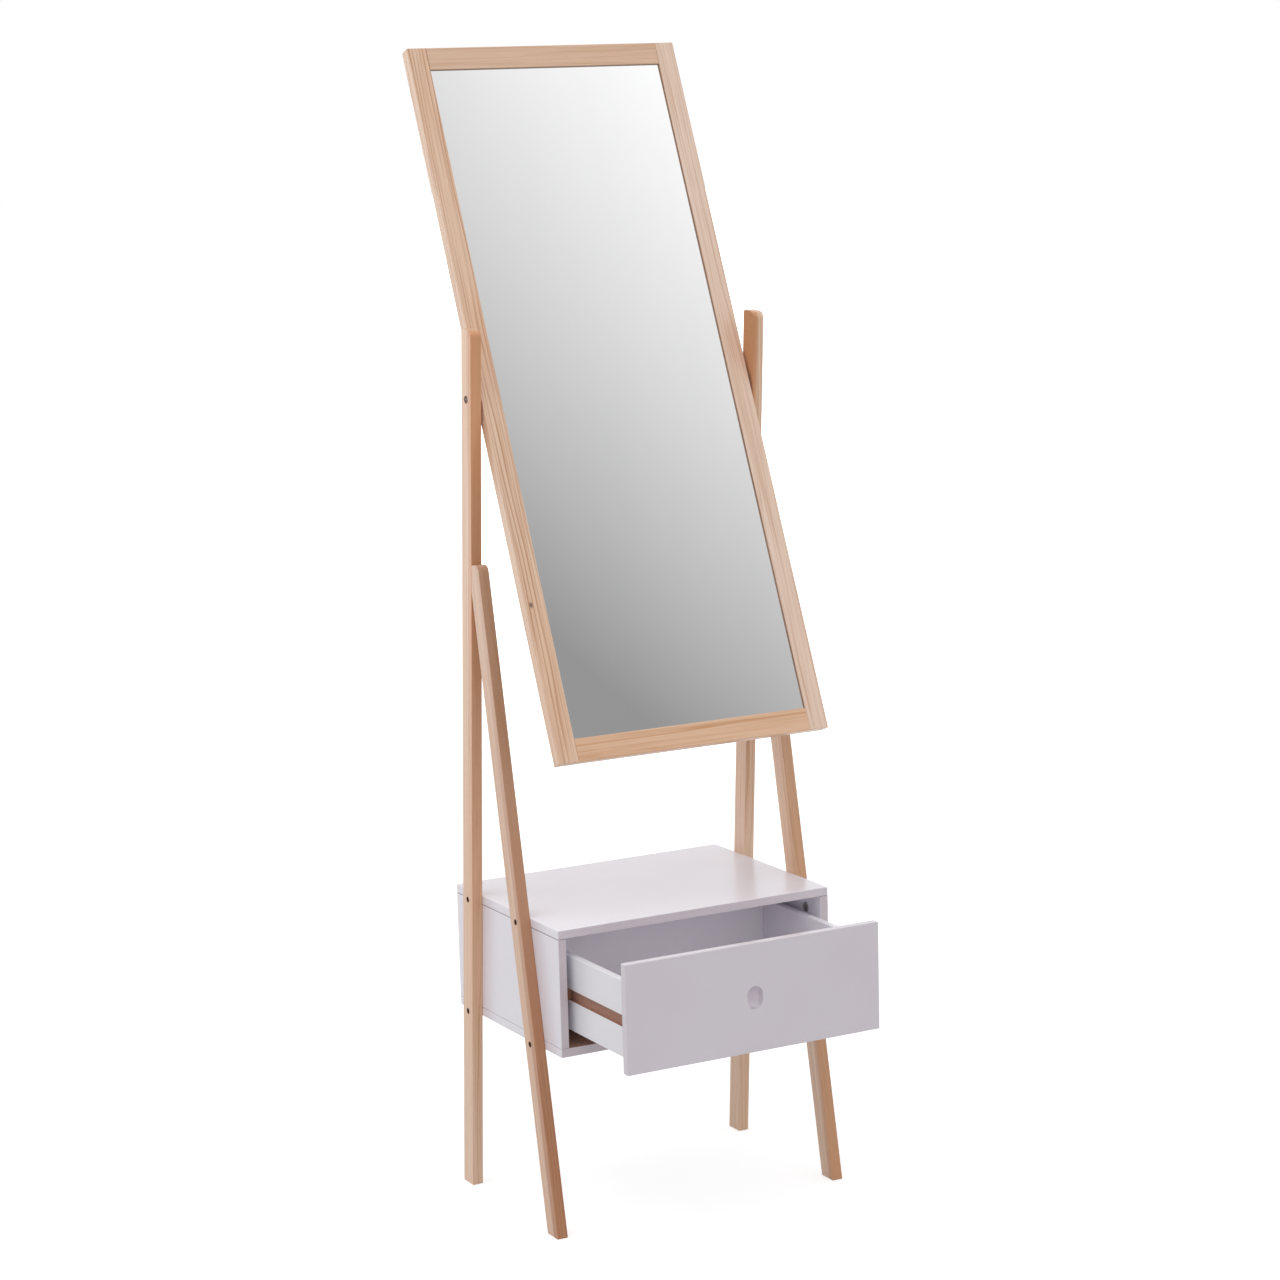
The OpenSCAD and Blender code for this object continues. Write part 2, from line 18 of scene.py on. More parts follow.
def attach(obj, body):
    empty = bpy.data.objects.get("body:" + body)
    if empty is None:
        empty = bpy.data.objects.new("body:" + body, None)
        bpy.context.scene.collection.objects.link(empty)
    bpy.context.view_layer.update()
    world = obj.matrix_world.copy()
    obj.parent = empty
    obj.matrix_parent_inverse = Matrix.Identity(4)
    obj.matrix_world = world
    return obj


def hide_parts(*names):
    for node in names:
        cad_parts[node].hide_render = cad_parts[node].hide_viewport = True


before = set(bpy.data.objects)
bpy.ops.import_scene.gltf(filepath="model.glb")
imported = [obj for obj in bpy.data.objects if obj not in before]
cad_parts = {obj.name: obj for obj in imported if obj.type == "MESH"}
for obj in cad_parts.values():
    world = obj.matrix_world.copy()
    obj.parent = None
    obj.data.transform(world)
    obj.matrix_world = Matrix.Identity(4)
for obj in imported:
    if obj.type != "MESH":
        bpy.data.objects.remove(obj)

Array = np.ndarray
Colour = tuple[float, float, float]
Knots = Sequence[tuple[float, float]]
Picker = Callable[[Array], Array]
Socket = bpy.types.NodeSocket
MM = 0.001
EASE_STEPS = 3  # segments across every eased edge
HOLE_EASE = 0.25  # radius of the eased rim of a hole
FLANGE = 4.0  # flat beyond a hole's rim, which gives its first arc a direction and is cut off again
FACE_MARGIN = 0.3  # how far under a broad face the inside of a hole starts
log = logging.getLogger("cheval_mirror")


# ---------------------------------------------------------------- shapes


class Facing(Enum):
    """Which way a board's broad faces look: the axes of its outline, then of its thickness."""

    SIDEWAYS = (1, 2, 0)
    UPWARD = (0, 1, 2)
    FORWARD = (2, 0, 1)


class Side(Enum):
    """The hand of a piece that comes in pairs. Pairs are drawn on the right."""

    LEFT = "left"
    RIGHT = "right"

    @property
    def mirrored(self) -> bool:
        """True for the left hand, which is the right one mirrored in X."""
        return self is Side.LEFT


@dataclass(frozen=True)
class Place:
    """Where a piece's own axes stand in the row frame.

    A point is turned about the X axis by lean, moved to the origin, and mirrored in X for a
    left-hand piece.
    """

    origin: tuple[float, float, float] = (0.0, 0.0, 0.0)
    lean: float = 0.0
    mirrored: bool = False

    def turn(self) -> Matrix:
        """The lean as a matrix."""
        return Matrix.Rotation(math.radians(self.lean), 3, "X")

    def points(self, local: Array) -> Array:
        """Local millimetres to metres in the row frame."""
        return self._hand(local @ np.array(self.turn()).T + np.array(self.origin)) * MM

    def directions(self, local: Array) -> Array:
        """Local directions to directions in the row frame."""
        return self._hand(local @ np.array(self.turn()).T)

    def _hand(self, rows: Array) -> Array:
        """The same rows, with X turned over for a left-hand piece."""
        return rows * np.array([-1.0 if self.mirrored else 1.0, 1.0, 1.0])


def eased_path(
    knots: Knots, radii: Sequence[float] | float, steps: int, closed: bool
) -> tuple[Array, Array]:
    """A polyline whose corners are rounded, with the direction that looks out of it.

    Each edge looks out to its right-hand side. At a knot between edges that look along n0 and
    n1, the arc's centre is the knot less r (n0 + n1) / (1 + n0 . n1), and its points are the
    centre plus r times the direction that turns evenly from n0 to n1; r is negative in an
    inside corner.

    Args:
        knots: Corners in order. A closed outline goes round anticlockwise.
        radii: One radius for all corners, or one each. An open path's ends use none.
        steps: Segments in each arc.
        closed: Whether the last knot joins the first.

    Returns:
        Points (n, 2) and outward unit directions (n, 2).
    """
    k = np.asarray(knots, float)
    r = np.broadcast_to(np.asarray(radii, float), (len(k),))
    edge = np.roll(k, -1, axis=0) - k
    edge /= np.linalg.norm(edge, axis=1, keepdims=True)
    n1 = np.stack([edge[:, 1], -edge[:, 0]], axis=1)
    n0 = np.roll(n1, 1, axis=0)
    turn = np.arctan2(n0[:, 0] * n1[:, 1] - n0[:, 1] * n1[:, 0], (n0 * n1).sum(1))
    signed = r * np.where(turn < 0, -1.0, 1.0)
    centre = k - signed[:, None] * (n0 + n1) / (1 + (n0 * n1).sum(1))[:, None]
    angle = np.arctan2(n0[:, 1], n0[:, 0])[:, None] + turn[:, None] * np.linspace(0, 1, steps + 1)
    out = np.stack([np.cos(angle), np.sin(angle)], axis=2)
    arcs = centre[:, None] + signed[:, None, None] * out
    if closed:
        return arcs.reshape(-1, 2), out.reshape(-1, 2)
    points = np.vstack([k[:1], arcs[1:-1].reshape(-1, 2), k[-1:]])
    return points, np.vstack([n1[:1], out[1:-1].reshape(-1, 2), n1[-2:-1]])


def inside(points: Array, loop: Array) -> Array:
    """Which points lie in a closed loop: their ray to the right crosses it an odd number of times."""
    a, b = loop, np.roll(loop, -1, axis=0)
    y = points[:, 1:2]
    spans = (a[:, 1] > y) != (b[:, 1] > y)
    rise = np.where(b[:, 1] == a[:, 1], 1.0, b[:, 1] - a[:, 1])
    x = a[:, 0] + (y - a[:, 1]) * (b[:, 0] - a[:, 0]) / rise
    return (spans & (points[:, 0:1] < x)).sum(1) % 2 == 1


@dataclass(frozen=True)
class Bore:
    """A hole in a face of a board.

    Attributes:
        at: Centre, in the two axes of the face.
        steps: Radius and depth at each corner of the hole's section, from the face down.
        top: Whether it starts in the face of greater thickness coordinate.
        through: Whether it comes out of the other face.
        slot: Half the straight length of an oval hole, along the face's first axis.
        sides: Segments round the hole.
    """

    at: tuple[float, float]
    steps: Knots
    top: bool = True
    through: bool = False
    slot: float = 0.0
    sides: int = 28


@dataclass
class Skin:
    """The closed surface of one piece: points, the way each looks, and its faces."""

    points: list[Array] = field(default_factory=list)
    looks: list[Array] = field(default_factory=list)
    quads: list[Array] = field(default_factory=list)
    tris: list[Array] = field(default_factory=list)
    count: int = 0

    def add(self, points: Array, looks: Array) -> Array:
        """Adds points of any grid shape (..., 3) and returns their numbers in that shape."""
        numbers = np.arange(points[..., 0].size).reshape(points.shape[:-1]) + self.count
        self.points.append(points.reshape(-1, 3))
        self.looks.append(np.broadcast_to(looks, points.shape).reshape(-1, 3))
        self.count += numbers.size
        return numbers

    def weave(self, grid: Array, keep: Array | None = None) -> None:
        """Quads between the rows of a grid of numbers whose columns close on themselves."""
        right = np.roll(grid, -1, axis=1)
        quads = np.stack([grid[:-1], right[:-1], right[1:], grid[1:]], axis=2)
        self.quads.append(quads.reshape(-1, 4) if keep is None else quads[keep])

    def fan(self, ring: Array, centre: Array, looks: Array) -> None:
        """Closes a ring of numbers with a point in its middle."""
        middle = self.add(centre[None], looks)
        self.tris.append(np.stack([ring, np.roll(ring, -1), np.full_like(ring, middle[0])], axis=1))

    def fill(self, rim: Array, holes: Sequence[Array], axes: tuple[int, int]) -> None:
        """Triangles over the flat area inside a rim and outside the holes in it.

        Args:
            rim: Numbers of the points round the area.
            holes: Numbers of the points round each hole.
            axes: The two coordinates that span the flat.
        """
        known = np.vstack(self.points)
        loops = [rim, *holes]
        flat = [known[loop][:, list(axes)] for loop in loops]
        numbers, spots = np.concatenate(loops), np.vstack(flat)
        starts = np.cumsum([0] + [len(loop) for loop in loops[:-1]])
        edges = np.vstack([
            np.stack([np.arange(len(loop)), np.roll(np.arange(len(loop)), -1)], axis=1) + start
            for loop, start in zip(loops, starts)
        ])
        found = delaunay_2d_cdt([Vector(p) for p in spots], edges.tolist(), [], 0, 1e-7)
        source = np.array([o[0] for o in found[3]])
        tris = source[np.array(found[2])]
        middle = spots[tris].mean(1)
        keep = inside(middle, flat[0])
        for hole in flat[1:]:
            keep &= ~inside(middle, hole)
        self.tris.append(numbers[tris[keep]])

    def faces(self) -> tuple[Array, Array]:
        """Quads and triangles, each turned so that it looks the way its points do."""
        known, looks = np.vstack(self.points), np.vstack(self.looks)
        done = []
        for faces, size in ((self.quads, 4), (self.tris, 3)):
            f = np.vstack(faces) if faces else np.zeros((0, size), int)
            p = known[f]
            normal = np.cross(p[:, 2] - p[:, 0], p[:, size - 1] - p[:, 1])
            wrong = (normal * looks[f].mean(1)).sum(1) < 0
            f[wrong] = f[wrong][:, ::-1]
            done.append(f)
        return done[0], done[1]


def board(
    facing: Facing,
    knots: Knots,
    span: tuple[float, float],
    corner: Sequence[float] | float = 1.0,
    ease: tuple[float, float] = (0.8, 0.8),
    bores: Sequence[Bore] = (),
    edge_bores: Sequence[tuple[int, Bore]] = (),
    steps: int = 5,
    skin: Skin | None = None,
) -> Skin:
    """A board with rounded outline corners, eased edges and holes.

    The edge surface is the outline pushed in by e (1 - sin t) and set back from the face by
    e (1 - cos t), for t from 0 at the face to a right angle at the side, and its direction is
    cos t along the thickness plus sin t out of the outline. A hole is its section, eased at
    every corner, carried round the rim of a circle or an oval.

    Args:
        facing: The plane of the outline.
        knots: Corners of the outline, anticlockwise in that plane.
        span: Lower and upper thickness coordinate.
        corner: Radius of the outline's corners.
        ease: Radius of the eased edges at the lower and the upper face.
        bores: Holes in the broad faces.
        edge_bores: Holes in an edge: the number of the knot before it, and a hole whose centre
            is given along the edge from the middle, then along the thickness.
        steps: Segments in each outline corner.
        skin: A surface to add to, for a piece made of several blocks.

    Returns:
        The surface, in the piece's own axes.
    """
    skin = skin or Skin()
    a, b, c = facing.value
    radii = np.maximum(np.broadcast_to(np.asarray(corner, float), (len(knots),)), max(ease) + 0.1)
    outline, out = eased_path(knots, radii, steps, True)
    t = np.linspace(0, math.pi / 2, EASE_STEPS + 1)
    low, high = ease
    push = np.concatenate([high * (np.sin(t) - 1), low * (np.sin(t[::-1]) - 1)])
    level = np.concatenate([span[1] - high * (1 - np.cos(t)), span[0] + low * (1 - np.cos(t[::-1]))])
    along = np.concatenate([np.cos(t), -np.cos(t[::-1])])
    sine = np.concatenate([np.sin(t), np.sin(t[::-1])])
    keep_rows = np.ones(len(push), bool)
    keep_rows[:EASE_STEPS] = high > 0
    keep_rows[-EASE_STEPS:] = low > 0
    push, level, along, sine = (v[keep_rows] for v in (push, level, along, sine))
    spots = np.zeros((len(push), len(outline), 3))
    looks = np.zeros_like(spots)
    spots[..., [a, b]] = outline + push[:, None, None] * out
    spots[..., c] = level[:, None]
    looks[..., [a, b]] = sine[:, None, None] * out
    looks[..., c] = along[:, None]
    grid = skin.add(spots, looks)
    keep = np.ones((len(push) - 1, len(outline)), bool)
    side_row = EASE_STEPS if high > 0 else 0
    for knot, _ in edge_bores:
        keep[side_row, knot * (steps + 1) + steps] = False
    skin.weave(grid, keep)
    caps = {True: grid[0], False: grid[-1]}
    if high <= 0:
        caps[True] = _sharp(skin, grid[0], c, 1.0)
    if low <= 0:
        caps[False] = _sharp(skin, grid[-1], c, -1.0)
    rings: dict[bool, list[Array]] = {True: [], False: []}
    for bore in bores:
        centre = np.zeros(3)
        centre[[a, b]] = bore.at
        centre[c] = span[1] if bore.top else span[0]
        sign = 1.0 if bore.top else -1.0
        first, last = drill(skin, bore, centre, (a, b, c), sign, span[1] - span[0])
        rings[bore.top].append(first)
        if bore.through:
            rings[not bore.top].append(last)
    for top in (True, False):
        skin.fill(caps[top], rings[top], (a, b))
    for knot, bore in edge_bores:
        column = knot * (steps + 1) + steps
        nxt = (column + 1) % len(outline)
        run = outline[nxt] - outline[column]
        run_axis, depth_axis = (a, b) if abs(run[0]) > abs(run[1]) else (b, a)
        centre = np.zeros(3)
        centre[[a, b]] = (outline[nxt] + outline[column]) / 2
        centre[run_axis] += bore.at[0]
        centre[c] = bore.at[1]
        sign = float(np.sign(out[column][0 if depth_axis == a else 1]))
        ring, _ = drill(skin, bore, centre, (run_axis, c, depth_axis), sign, 0.0)
        upper, lower = grid[side_row], grid[side_row + 1]
        rim = np.array([upper[column], upper[nxt], lower[nxt], lower[column]])
        skin.fill(rim, [ring], (run_axis, c))
    return skin


def _sharp(skin: Skin, ring: Array, c: int, sign: float) -> Array:
    """A second copy of a ring that looks along the thickness, for a face with a crisp edge."""
    looks = np.zeros(3)
    looks[c] = sign
    return skin.add(np.vstack(skin.points)[ring], looks)


def drill(
    skin: Skin, bore: Bore, centre: Array, axes: tuple[int, int, int], sign: float, thickness: float
) -> tuple[Array, Array]:
    """Adds the wall of a hole, and its bottom if it is blind.

    Args:
        skin: The surface to add to.
        bore: The hole.
        centre: Its centre on the face it starts in.
        axes: The two axes of the face, then the axis of the hole.
        sign: 1 if the face looks up its axis, -1 if down.
        thickness: Distance to the other face, for a hole that goes through.

    Returns:
        The numbers of its first ring, on the face, and of its last.
    """
    mouth, (tip, depth) = bore.steps[0][0], bore.steps[-1]
    knots = [(mouth + FLANGE, 0.0), (mouth, 0.0)]
    knots += [(r, -d) for r, d in bore.steps if d > 0]
    knots += [(tip, -thickness), (tip + FLANGE, -thickness)] if bore.through else [(0.0, -depth)]
    path, out = eased_path(knots, HOLE_EASE, EASE_STEPS, False)
    path, out = path[1:-1], out[1:-1]
    turn = np.linspace(0, 2 * math.pi, bore.sides, endpoint=False)
    cos, sin = np.cos(turn), np.sin(turn)
    spots = np.zeros((len(path), bore.sides, 3)) + centre
    spots[..., axes[0]] += path[:, :1] * cos + bore.slot * np.sign(np.round(cos, 9))
    spots[..., axes[1]] += path[:, :1] * sin
    spots[..., axes[2]] += sign * path[:, 1:]
    looks = np.zeros_like(spots)
    looks[..., axes[0]] = out[:, :1] * cos
    looks[..., axes[1]] = out[:, :1] * sin
    looks[..., axes[2]] = sign * out[:, 1:]
    grid = skin.add(spots, looks)
    skin.weave(grid)
    if not bore.through:
        bottom = centre.copy()
        bottom[axes[2]] += sign * path[-1, 1]
        skin.fan(grid[-1], bottom, looks[-1, 0])
    return grid[0], grid[-1]


def socket_bolt(
    radii: tuple[float, float, float], neck: float, rise: float, floor: float
) -> Knots:
    """The section of a bolt with a socket in its head, inner end first, as radius and X.

    Args:
        radii: Radii of the shank, the head and the socket.
        neck: X at which the head starts.
        rise: Height of the head.
        floor: Height of the socket's floor above the neck.

    Returns:
        Radius and X at each corner.
    """
    shank, head, socket = radii
    top, bed = neck + rise, neck + floor
    return ((0.0, 0.0), (shank, 0.0), (shank, neck), (head, neck), (head, top), (socket, top), (socket, bed),
            (0.0, bed))


def turned(
    knots: Knots,
    ease: float,
    sides: int,
    socket: float,
    skin: Skin,
    at: tuple[float, float, float],
) -> None:
    """Adds a part turned about the X axis, with a six-sided socket.

    The section goes from the axis at the inner end to the axis at the outer end. Its points
    are carried round the axis: y is the radius times the cosine and z the radius times the
    sine of the turn. In the socket the radius is divided by the cosine of the angle from the
    middle of the nearest flat.

    Args:
        knots: Radius and X at each corner of the section, inner end first.
        ease: Radius of the section's corners.
        sides: Segments round the axis.
        socket: X beyond which points nearer the axis than the rim belong to the socket.
        skin: The surface to add to.
        at: Where the axis starts.
    """
    rim = 1.2  # the head's ring round the socket is wider than this
    path, out = eased_path(knots, ease, EASE_STEPS, False)
    path, out = path[1:-1], out[1:-1]
    turn = np.linspace(0, 2 * math.pi, sides, endpoint=False)
    cos, sin = np.cos(turn), np.sin(turn)
    flat = np.cos((turn + math.pi / 6) % (math.pi / 3) - math.pi / 6)
    in_socket = (path[:, 1] >= socket) & (path[:, 0] < np.max(path[:, 0]) - rim)
    radius = path[:, :1] / np.where(in_socket[:, None], flat, 1.0)
    spots = np.stack([np.broadcast_to(path[:, 1:], radius.shape), radius * cos, radius * sin], axis=2)
    looks = np.stack([np.broadcast_to(out[:, 1:], radius.shape), out[:, :1] * cos, out[:, :1] * sin], axis=2)
    grid = skin.add(spots + np.array(at), looks)
    skin.weave(grid)
    for row, sign in ((0, -1.0), (-1, 1.0)):
        middle = np.array([path[row, 1], 0.0, 0.0]) + np.array(at)
        skin.fan(grid[row], middle, np.array([sign, 0.0, 0.0]))


# ---------------------------------------------------------------- nodes of a material


class Bench:
    """Lays out one material's nodes and joins them."""

    def __init__(self, name: str) -> None:
        """Starts an empty material with a shader and an output."""
        self.material = bpy.data.materials.new(name)
        self.material.use_nodes = True
        self.tree = self.material.node_tree
        self.tree.nodes.clear()
        self.shader = self.node("ShaderNodeBsdfPrincipled")
        out = self.node("ShaderNodeOutputMaterial")
        self.tree.links.new(self.shader.outputs[0], out.inputs[0])

    def node(self, kind: str, settings: dict | None = None, **sockets: object) -> bpy.types.Node:
        """Adds a node.

        Args:
            kind: The node's type.
            settings: Its properties.
            **sockets: Input values or sockets to join, by name with _ for spaces, or _N for input N.

        Returns:
            The node.
        """
        made = self.tree.nodes.new(kind)
        for key, value in (settings or {}).items():
            setattr(made, key, value)
        for key, value in sockets.items():
            slot = made.inputs[int(key[1:])] if key[0] == "_" else made.inputs[key.replace("_", " ")]
            if isinstance(value, Socket):
                self.tree.links.new(value, slot)
            else:
                slot.default_value = value
        return made

    def math(self, operation: str, *values: object) -> Socket:
        """The result of an arithmetic node."""
        sockets = {f"_{i}": v for i, v in enumerate(values)}
        return self.node("ShaderNodeMath", {"operation": operation}, **sockets).outputs[0]

    def mix(self, factor: object, *pair: object) -> Socket:
        """A colour mixed from two others."""
        a, b = ((*v, 1.0) if isinstance(v, tuple) else v for v in pair)
        return self.node("ShaderNodeMix", {"data_type": "RGBA"}, _0=factor, _6=a, _7=b).outputs[2]

    def noise(self, vector: object, scale: float, detail: float = 2.0, rough: float = 0.5) -> Socket:
        """A soft noise value."""
        made = self.node("ShaderNodeTexNoise", Vector=vector, Scale=scale, Detail=detail, Roughness=rough)
        return made.outputs[0]

    def ramp(self, factor: object, stops: Sequence[tuple[float, float]]) -> Socket:
        """A grey value that follows stops of position and brightness."""
        made = self.node("ShaderNodeValToRGB", Fac=factor)
        bar = made.color_ramp
        while len(bar.elements) < len(stops):
            bar.elements.new(1.0)
        for element, (position, grey) in zip(bar.elements, stops):
            element.position = position
            element.color = (grey, grey, grey, 1.0)
        return made.outputs[0]

    def stretched(self, vector: object, scale: tuple[float, float, float],
                  shift: tuple[float, float, float] = (0.0, 0.0, 0.0)) -> Socket:
        """Coordinates scaled along each axis, then moved."""
        return self.node("ShaderNodeMapping", Vector=vector, Scale=scale, Location=shift).outputs[0]

    def bump(self, height: object, depth: float, strength: float = 1.0) -> None:
        """Gives the shader a relief of that depth in metres."""
        made = self.node("ShaderNodeBump", Height=height, Distance=depth, Strength=strength)
        self.feed("Normal", made.outputs[0])

    def gloss(self, **values: object) -> None:
        """Sets constants on the shader's own sockets, by name with _ for spaces."""
        for key, value in values.items():
            self.shader.inputs[key.replace("_", " ")].default_value = value

    def feed(self, socket: str, value: Socket) -> None:
        """Joins a value to one of the shader's own sockets."""
        self.tree.links.new(value, self.shader.inputs[socket])

    def colour(self, value: Socket) -> None:
        """Joins the base colour."""
        self.feed("Base Color", value)

    def part(self, vector: object, axis: int) -> Socket:
        """One coordinate of a vector."""
        return self.node("ShaderNodeSeparateXYZ", Vector=vector).outputs[axis]

    def length(self, vector: object) -> Socket:
        """The length of a vector."""
        return self.node("ShaderNodeVectorMath", {"operation": "LENGTH"}, _0=vector).outputs["Value"]

    def normal(self) -> Socket:
        """The way the surface looks, in the object's own directions."""
        return self.node("ShaderNodeTexCoord").outputs["Normal"]

    def smooth_rise(self, value: object, start: float, end: float, high: float = 1.0) -> Socket:
        """A value that goes softly from 0 at start to high at end."""
        made = self.node("ShaderNodeMapRange", {"interpolation_type": "SMOOTHSTEP"}, Value=value, _1=start,
                         _2=end, _3=0.0, _4=high)
        return made.outputs[0]

    def object_space(self, place: Place | None = None, lengthwise: Matrix | None = None) -> Socket:
        """Object coordinates, turned into a piece's own axes if it has some.

        Args:
            place: Where the piece's axes stand.
            lengthwise: A further turn that brings the grain onto Z.

        Returns:
            The vector, in metres.
        """
        vector = self.node("ShaderNodeTexCoord").outputs["Object"]
        if place is None:
            return vector
        rotation = (place.turn() @ (lengthwise or Matrix.Identity(3))).to_euler("XYZ")
        location = tuple(np.array(place.origin) * MM)
        return self.node("ShaderNodeMapping", {"vector_type": "TEXTURE"}, Vector=vector, Location=location,
                         Rotation=tuple(rotation)).outputs[0]


class Grain(Enum):
    """The axis of a piece's own frame that its grain runs along."""

    UPRIGHT = "Z"
    ACROSS = "X"
    ENDWISE = "Y"

    def turn(self) -> Matrix:
        """The turn that carries Z onto this axis."""
        turns = {
            Grain.UPRIGHT: Matrix.Identity(3),
            Grain.ACROSS: Matrix.Rotation(math.radians(90), 3, "Y"),
            Grain.ENDWISE: Matrix.Rotation(math.radians(-90), 3, "X"),
        }
        return turns[self]


@dataclass(frozen=True)
class Pine:
    """Clear-finished pine: growth rings about a pith beside the piece, fibres and slow drifts of colour.

    Attributes:
        name: Name of the material.
        early: Colour of the pale early wood.
        late: Colour of the dark late wood.
        blush: Colour that parts of the piece drift towards.
        pith: Where the tree's centre ran, across the piece, in millimetres.
        gap: Distance between rings in millimetres.
        rings: How strongly the late wood shows, 0 to 1.
        drift: How far the colour moves towards the blush, 0 to 1.
        seed: Shifts every pattern, so that no two pieces are alike.
        knots: Place across and along the face, and radius, of small knots, in millimetres.
        heart_and_shade: Depth in millimetres to which a redder band reaches, and its strength. On the
            legs it is heartwood; on the posts it is painted shade, where the mirror shades them.
        heart_and_shade_tone: Colour of the redder band.
        heart_and_shade_rise: Change of the band's strength per metre up from half a metre, as a share of it.
        heart_and_shade_axis: The axis that the band's depth is measured on: 1 from front to back, 0 across.
        grain: The axis that the grain runs along.
    """

    name: str
    early: Colour = (0.88, 0.635, 0.465)
    late: Colour = (0.54, 0.28, 0.135)
    blush: Colour = (0.82, 0.505, 0.325)
    pith: tuple[float, float] = (55.0, 30.0)
    gap: float = 5.2
    rings: float = 0.75
    drift: float = 0.6
    seed: float = 0.0
    knots: tuple[tuple[float, float, float], ...] = ()
    heart_and_shade: tuple[float, float] = (0.0, 0.0)
    heart_and_shade_tone: Colour = (0.62, 0.28, 0.12)
    heart_and_shade_rise: float = 0.0
    heart_and_shade_axis: int = 1
    grain: Grain = Grain.UPRIGHT

    def _late_wood(self, b: Bench, p: Socket) -> Socket:
        """How much late wood shows at p: a slow rise and a quick fall across each ring, in patches.

        The ring's count is the distance from the pith over the gap, swayed by noise drawn out
        along the grain.
        """
        s = self.seed
        warp = b.noise(b.stretched(p, (1.0, 1.0, 0.075), (s, 2 * s, s)), 24.0, 2.0)
        sway = b.noise(b.stretched(p, (1.0, 1.0, 0.35), (3 * s, s, s)), 7.0, 1.0)
        moved = b.node("ShaderNodeMapping", Vector=p, Location=(-self.pith[0] * MM, -self.pith[1] * MM, 0.0),
                       Scale=(1.0, 1.0, 0.0)).outputs[0]
        count = b.math("DIVIDE", b.length(moved), self.gap * MM)
        count = b.math("MULTIPLY_ADD", warp, 3.4, count)
        count = b.math("MULTIPLY_ADD", sway, 2.0, count)
        uneven = b.noise(b.stretched(p, (1.0, 1.0, 0.03), (2 * s, 4 * s, 0.0)), 85.0, 1.0)
        count = b.math("MULTIPLY_ADD", uneven, 2.2, count)
        late = b.ramp(b.math("FRACT", count),
                      ((0.0, 0.40), (0.06, 0.0), (0.50, 0.05), (0.78, 0.38), (0.92, 1.0), (1.0, 0.40)))
        patch = b.noise(b.stretched(p, (1.0, 1.0, 0.05), (5 * s, s, 0.0)), 55.0, 2.0)
        return b.math("MULTIPLY", late, b.ramp(patch, ((0.36, 0.08), (0.60, 1.0))))

    def _knot(self, b: Bench, p: Socket) -> Socket | float:
        """How dark the knots are at p: an oval, longer along the grain, with a soft rim."""
        dark: Socket | float = 0.0
        for across, along, radius in self.knots:
            length = 1.5 * radius
            near = b.node("ShaderNodeMapping", Vector=p, Location=(-across / radius, 0.0, -along / length),
                          Scale=(1000 / radius, 0.0, 1000 / length)).outputs[0]
            one = b.ramp(b.length(near), ((0.0, 1.0), (0.45, 0.9), (0.65, 0.3), (1.0, 0.0)))
            dark = b.math("MAXIMUM", dark, one)
        return dark

    def _heartwood_and_shade(
        self, b: Bench, p: Socket, depth: Socket, drift: Socket
    ) -> Socket:
        """How strong the redder band is: heartwood on the legs, painted shade on the posts.

        It fades out over 7 mm at its depth, and changes up the piece.
        """
        reach, strength = self.heart_and_shade[0] * MM, self.heart_and_shade[1]
        depth = b.math("MULTIPLY_ADD", drift, -0.010, depth)
        shown = b.smooth_rise(depth, reach, reach - 0.007, strength)
        rise = b.math("MULTIPLY_ADD", b.part(p, 2), self.heart_and_shade_rise, 1.0 - 0.5 * self.heart_and_shade_rise)
        return b.math("MINIMUM", b.math("MULTIPLY", shown, rise), 0.97)

    def material(self, place: Place) -> bpy.types.Material:
        """Builds the material for a piece whose own axes stand at place."""
        b = Bench(self.name)
        p = b.object_space(place, self.grain.turn())
        s = self.seed
        late = self._late_wood(b, p)
        fibre = b.noise(b.stretched(p, (1.0, 1.0, 0.012), (s, s, 7 * s)), 1300.0, 3.0, 0.6)
        streak = b.noise(b.stretched(p, (1.0, 1.0, 0.016), (2 * s, 5 * s, s)), 330.0, 3.0, 0.65)
        drift = b.noise(b.stretched(p, (1.0, 1.0, 0.22), (7 * s, 0.0, 3 * s)), 11.0, 2.0)
        blush = b.math("MULTIPLY", b.ramp(drift, ((0.35, 0.0), (0.66, 1.0))), self.drift)
        base = b.mix(blush, self.early, self.blush)
        # Redder band: heartwood on the legs; on the posts it is painted shade of the mirror near the pivot.
        if self.heart_and_shade[1] > 0:
            base = b.mix(self._heartwood_and_shade(b, p, b.part(b.object_space(place), self.heart_and_shade_axis), drift), base,
                         self.heart_and_shade_tone)
        base = b.mix(b.math("MULTIPLY", late, self.rings), base, self.late)
        base = b.mix(b.ramp(streak, ((0.28, 0.50), (0.50, 0.0))), base, self.late)
        base = b.mix(b.ramp(fibre, ((0.25, 0.25), (0.6, 0.0))), base, self.late)
        canal = b.noise(b.stretched(p, (1.0, 1.0, 0.03), (9 * s, s, 0.0)), 2600.0, 1.0)
        base = b.mix(b.ramp(canal, ((0.70, 0.0), (0.80, 0.35))), base, self.late)
        along = tuple(np.array(place.turn() @ self.grain.turn())[:, 2])
        facing = b.node("ShaderNodeVectorMath", {"operation": "DOT_PRODUCT"}, _0=b.normal(), _1=along)
        end = b.math("POWER", b.math("ABSOLUTE", facing.outputs["Value"]), 6.0)
        base = b.mix(b.math("MULTIPLY", end, 0.35), base, self.late)
        if self.knots:
            base = b.mix(b.math("MULTIPLY", self._knot(b, p), 0.85), base, (0.13, 0.055, 0.03))
        b.colour(base)
        b.feed("Roughness", b.math("MULTIPLY_ADD", fibre, 0.16, 0.36))
        b.gloss(Specular_IOR_Level=0.5, Coat_Weight=0.45, Coat_Roughness=0.26)
        b.bump(b.math("ADD", b.math("MULTIPLY", late, 0.5), fibre), 0.00012, 0.6)
        return b.material


